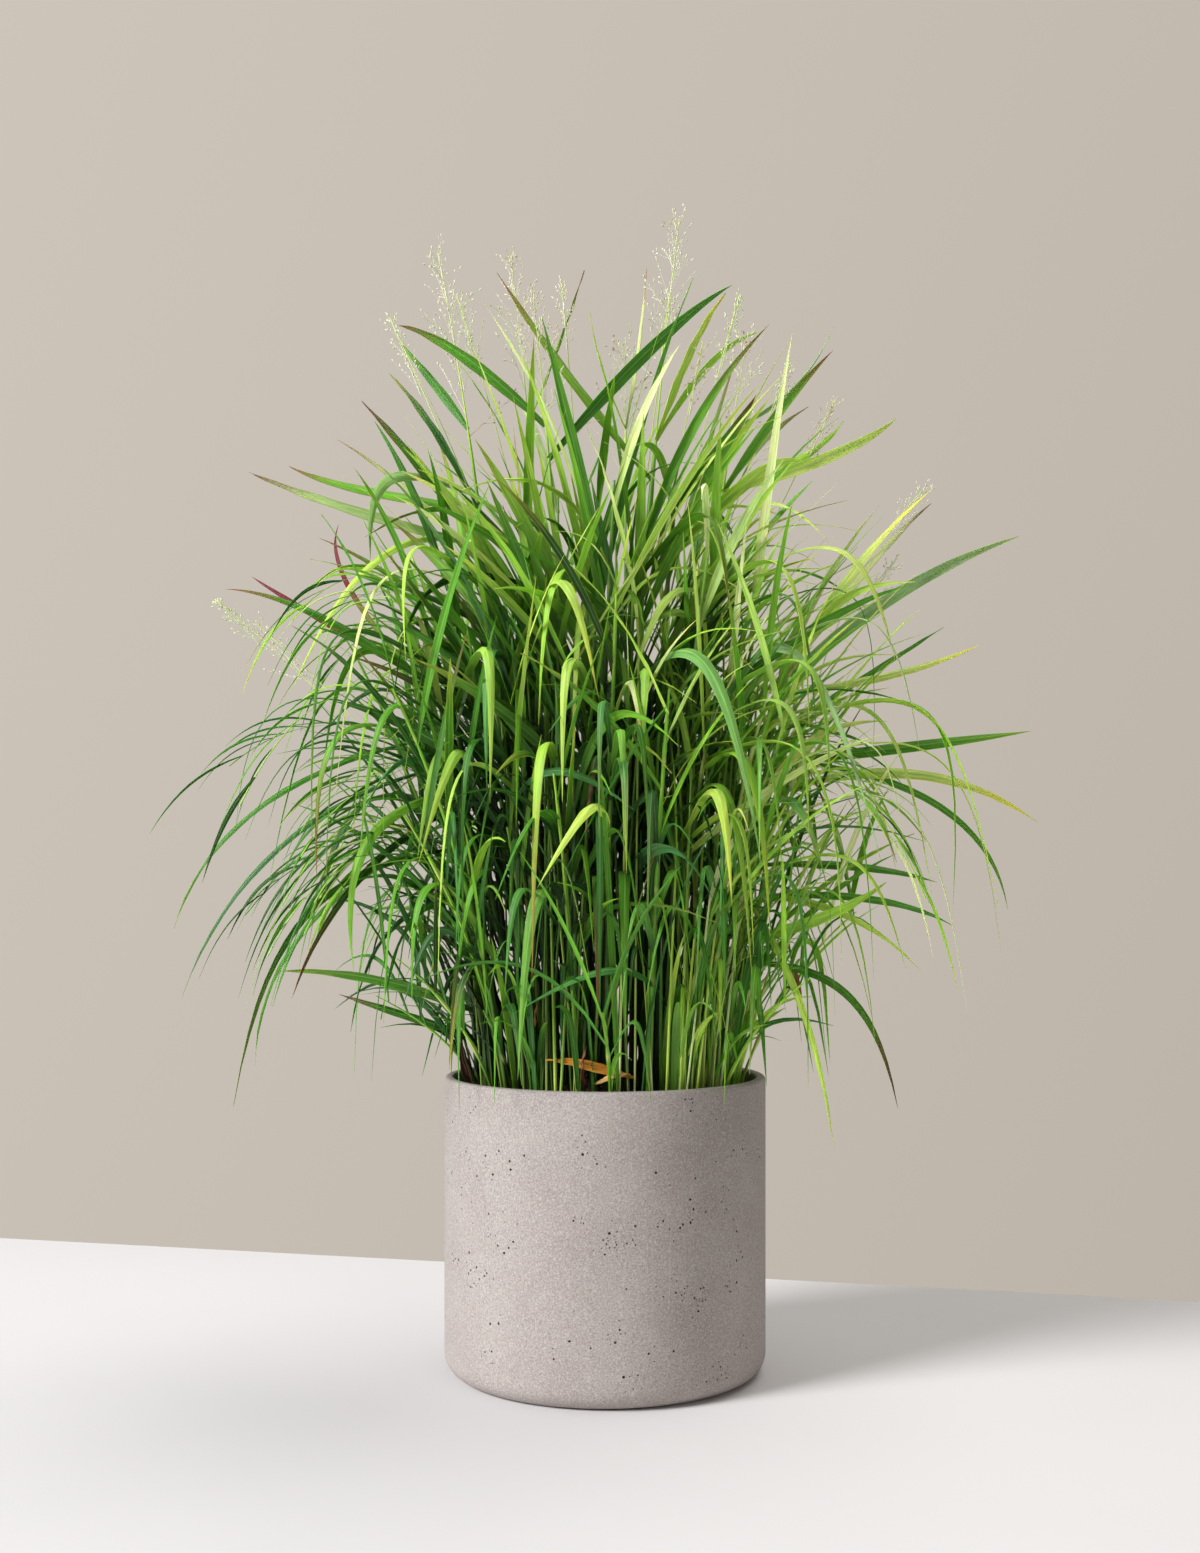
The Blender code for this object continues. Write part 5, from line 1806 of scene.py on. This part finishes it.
def weeping_shoot(draw, side):
    """The line of a thin shoot that leaves the clump at a side and droops."""
    level = draw.uniform(470, 740) * MM
    reach = draw.uniform(*(LEFT_REACH if side < 0 else RIGHT_REACH)) * MM
    depth = draw.uniform(-150, 60) * MM
    root = Vector((side * draw.uniform(90, 150) * MM, 0.5 * depth, level - draw.uniform(10, 60) * MM))
    crest = Vector((side * 0.78 * reach, 0.9 * depth, level + draw.uniform(20, 70) * MM))
    tip = Vector((side * reach, depth, level - draw.uniform(30, 150) * MM))
    return [root, root.lerp(crest, 0.72), tip.lerp(crest, 0.72), tip]


def shoot_leaf(curve, n, draw):
    """A narrow leaf, left and right of the shoot in turn."""
    share = 0.32 + 0.66 * (n + draw.random() * 0.6) / SHOOT_LEAVES
    root = curve_point(curve, share)
    along = (curve_point(curve, min(1.0, share + 0.03)) - curve_point(curve, share - 0.03)).normalized()
    side = UP.cross(along).normalized() * (n % 2 * 2 - 1)
    length = draw.uniform(60, 125) * MM
    crest = root + (along * 0.5 + side * draw.uniform(0.05, 0.25) + Vector((0, 0, 0.14))) * length
    tip = crest + (along * 0.3 + Vector((0, 0, -draw.uniform(0.2, 0.55)))) * length
    tip.x = clamp(tip.x, WIDEST_LEFT, WIDEST_RIGHT)
    return blade_from(root, crest, tip, 0.72, draw.uniform(2.2, 5.0) * MM,
                      math.radians(draw.uniform(-60, 60)), draw.uniform(-0.6, 0.6))


def lay_shoot(bunch, draw, side):
    curve = weeping_shoot(draw, side)
    tone = clamp(0.45 + draw.gauss(0, 0.2), 0.1, 0.95)
    lay_stalk(bunch, bare_stalk(curve, SHOOT_RADIUS), PLAIN_STALK, thick=0.75, tone=tone,
              shift=draw.random())
    for n in range(SHOOT_LEAVES):
        blade = shoot_leaf(curve, n, draw)
        marks = blade_marks(blade, draw)
        marks["tone"] = clamp(marks["tone"] + draw.uniform(-0.2, 0.3))
        lay_blade(bunch, blade, PLAIN_BLADE, fold=0.35, **marks)


gather("left_weeping_shoots", [-1] * LEFT_SHOOTS, lay_shoot)
gather("right_weeping_shoots", [1] * RIGHT_SHOOTS, lay_shoot)

# %% [markdown]
# Last come hair-thin blades all over the clump. They soften its outline and give the eye something finer
# than the broad blades to compare them with.

# %% Whiskers
WHISKERS = 130
WHISKER_WIDTHS = (1.4, 3.0)
WHISKER_HOSTS = [culm for culm in culms if not culm["seeds"]]


def lay_whisker(bunch, draw, n):
    culm = draw.choice(WHISKER_HOSTS)
    blade = rule_blade(culm, draw.uniform(0.35, 0.98), n, draw)
    if in_room(blade) and clears_pot(blade):
        blade["width"] = draw.uniform(*WHISKER_WIDTHS) * MM
        lay_blade(bunch, blade, PLAIN_BLADE, fold=0.4, **blade_marks(blade, draw, paler=0.25))


gather("whiskers", range(WHISKERS), lay_whisker)

# %% [markdown]
# ## Dry leaves
# A few old leaves have dried at the foot of the clump: one orange leaf lies against the front stalks, a
# brown sheath stands at the left rim, and straw lies about. Each is the same blade pattern, laid short.

# %% Dry leaves
DRY_LEAVES = [
    # root, crest, tip in millimetres, fold, width, colour from straw (0) to dark brown (1)
    ((25, -112, 284), (-20, -128, 300), (-52, -122, 300), 0.66, 9.0, 0.3),
    ((-18, -110, 272), (-24, -124, 292), (-16, -126, 312), 0.66, 6.5, 0.8),
    ((-10, -116, 278), (8, -130, 290), (22, -126, 288), 0.66, 5.0, 0.15),
    ((-120, -50, 268), (-138, -60, 300), (-126, -62, 342), 0.70, 9.5, 0.95),
    ((166, -20, 372), (176, -34, 380), (182, -30, 335), 0.75, 6.0, 0.75),
    ((-60, -100, 300), (-66, -112, 330), (-58, -110, 352), 0.66, 4.0, 0.5),
]


def dry_material():
    finish, tree, shader = new_material("dry_leaf", 0.7)
    own, veins = own_veins(tree, 5.0)
    colour = ramp(tree, own["shift"], [
        (0.0, srgb(226, 206, 140)), (0.3, srgb(232, 158, 44)), (0.55, srgb(176, 104, 50)),
        (0.8, srgb(124, 62, 40)), (1.0, srgb(66, 38, 30))])
    burnt = blend(tree, 1.0, colour, (0.4, 0.3, 0.25), "MULTIPLY")
    colour = blend(tree, remap(tree, veins["Mottle"], 0.5, 0.68), colour, burnt)
    pale = blend(tree, 0.4, colour, srgb(236, 214, 150))
    colour = blend(tree, remap(tree, veins["Vein"], 0.5, 1.0, 0.0, 0.5), colour, pale)
    tree.links.new(colour, shader.inputs["Base Color"])
    bump(tree, shader, veins["Height"], 0.3 * MM, 0.8)
    return finish


def lay_dry_leaf(bunch, draw, row):
    root, crest, tip = (Vector(place) * MM for place in row[:3])
    fold, width, brown = row[3:]
    blade = blade_from(root, crest, tip, fold, width * MM, math.radians(draw.uniform(20, 70)),
                       draw.uniform(1, 2))
    lay_blade(bunch, blade, FINE_BLADE, fold=0.9, ripple=0.8 * MM, shift=brown)


gather("dry_leaves", DRY_LEAVES, lay_dry_leaf, [dry_material()])

# %% [markdown]
# ## Airy seed heads
# Switchgrass flowers in an open spray: hair-thin branches, each with a few pale spikelets, round the top of
# a stalk. The frame has the main branches; the spray between them is too fine for it. More stalks end in
# a small spray of their own, at places that the photograph shows, in millimetres.

# %% Sprays
MORE_SPRAYS = [
    (-202, 0, 985), (-140, 10, 1010), (60, -20, 1000), (92, 0, 962), (125, -20, 1000), (215, -10, 905),
    (-40, -20, 1010), (170, -30, 930), (302, 0, 828), (275, 10, 760), (-330, 10, 700), (-365, 0, 720),
]
HEAD_BRANCHES = 16
SPRAY_BRANCHES = 12
SPIKELETS = 5


def lay_spray(bunch, top, along, length, draw, branches):
    """Fine branches round a stalk's end, longer low down, each with spikelets."""
    shift = draw.random() * 0.7
    lay_twig(bunch, top - along * length, top, 0.5 * MM, shift=shift)
    side = along.orthogonal().normalized()
    for n in range(branches):
        share = n / branches
        foot = top - along * length * (1 - share)
        turn = Matrix.Rotation(n * GOLDEN_ANGLE, 3, along)
        lean = math.radians(draw.uniform(14, 34))
        way = along * math.cos(lean) + (turn @ side) * math.sin(lean)
        reach = length * (0.5 - 0.36 * share) * draw.uniform(0.7, 1.2)
        end = foot + way * reach
        lay_twig(bunch, foot, end, 0.2 * MM, shift=shift)
        for m in range(SPIKELETS):
            place = foot.lerp(end, 0.35 + 0.16 * m)
            off = Vector([draw.uniform(-1, 1) for axis in range(3)]) * 2.5 * MM
            lay_spikelet(bunch, place + off, (way + off / (6 * MM)).normalized(),
                         draw.uniform(2.6, 4.0) * MM, draw.uniform(0.5, 0.8) * MM,
                         shift=min(1.0, shift + draw.uniform(0, 0.25)))


def lay_head_spray(bunch, draw, culm):
    """The fine spray round a seed head that the frame already has."""
    low, top = culm["curve"][1:]
    end = top - Vector((0, 0, 2 * MM))
    lay_spray(bunch, end, (top - low).normalized(), draw.uniform(90, 130) * MM, draw, HEAD_BRANCHES)


def lay_small_spray(bunch, draw, place):
    """A thin stalk of its own, with a small spray."""
    top = Vector(place) * MM
    foot = Vector((0.45 * top.x, 0.6 * top.y, 0.72 * top.z))
    curve = [foot, foot.lerp(top, 0.5) + Vector((0, 0, 20 * MM)), top]
    lay_stalk(bunch, bare_stalk(curve, SHOOT_RADIUS), PLAIN_STALK, thick=0.5, tone=0.85,
              shift=draw.random())
    length = draw.uniform(50, 85) * MM
    lay_spray(bunch, top, (top - foot).normalized(), length, draw, SPRAY_BRANCHES)


def lay_any_spray(bunch, draw, item):
    if isinstance(item, dict):
        lay_head_spray(bunch, draw, item)
    else:
        lay_small_spray(bunch, draw, item)


gather("seed_sprays", [culm for culm in culms if culm["seeds"]] + MORE_SPRAYS, lay_any_spray)
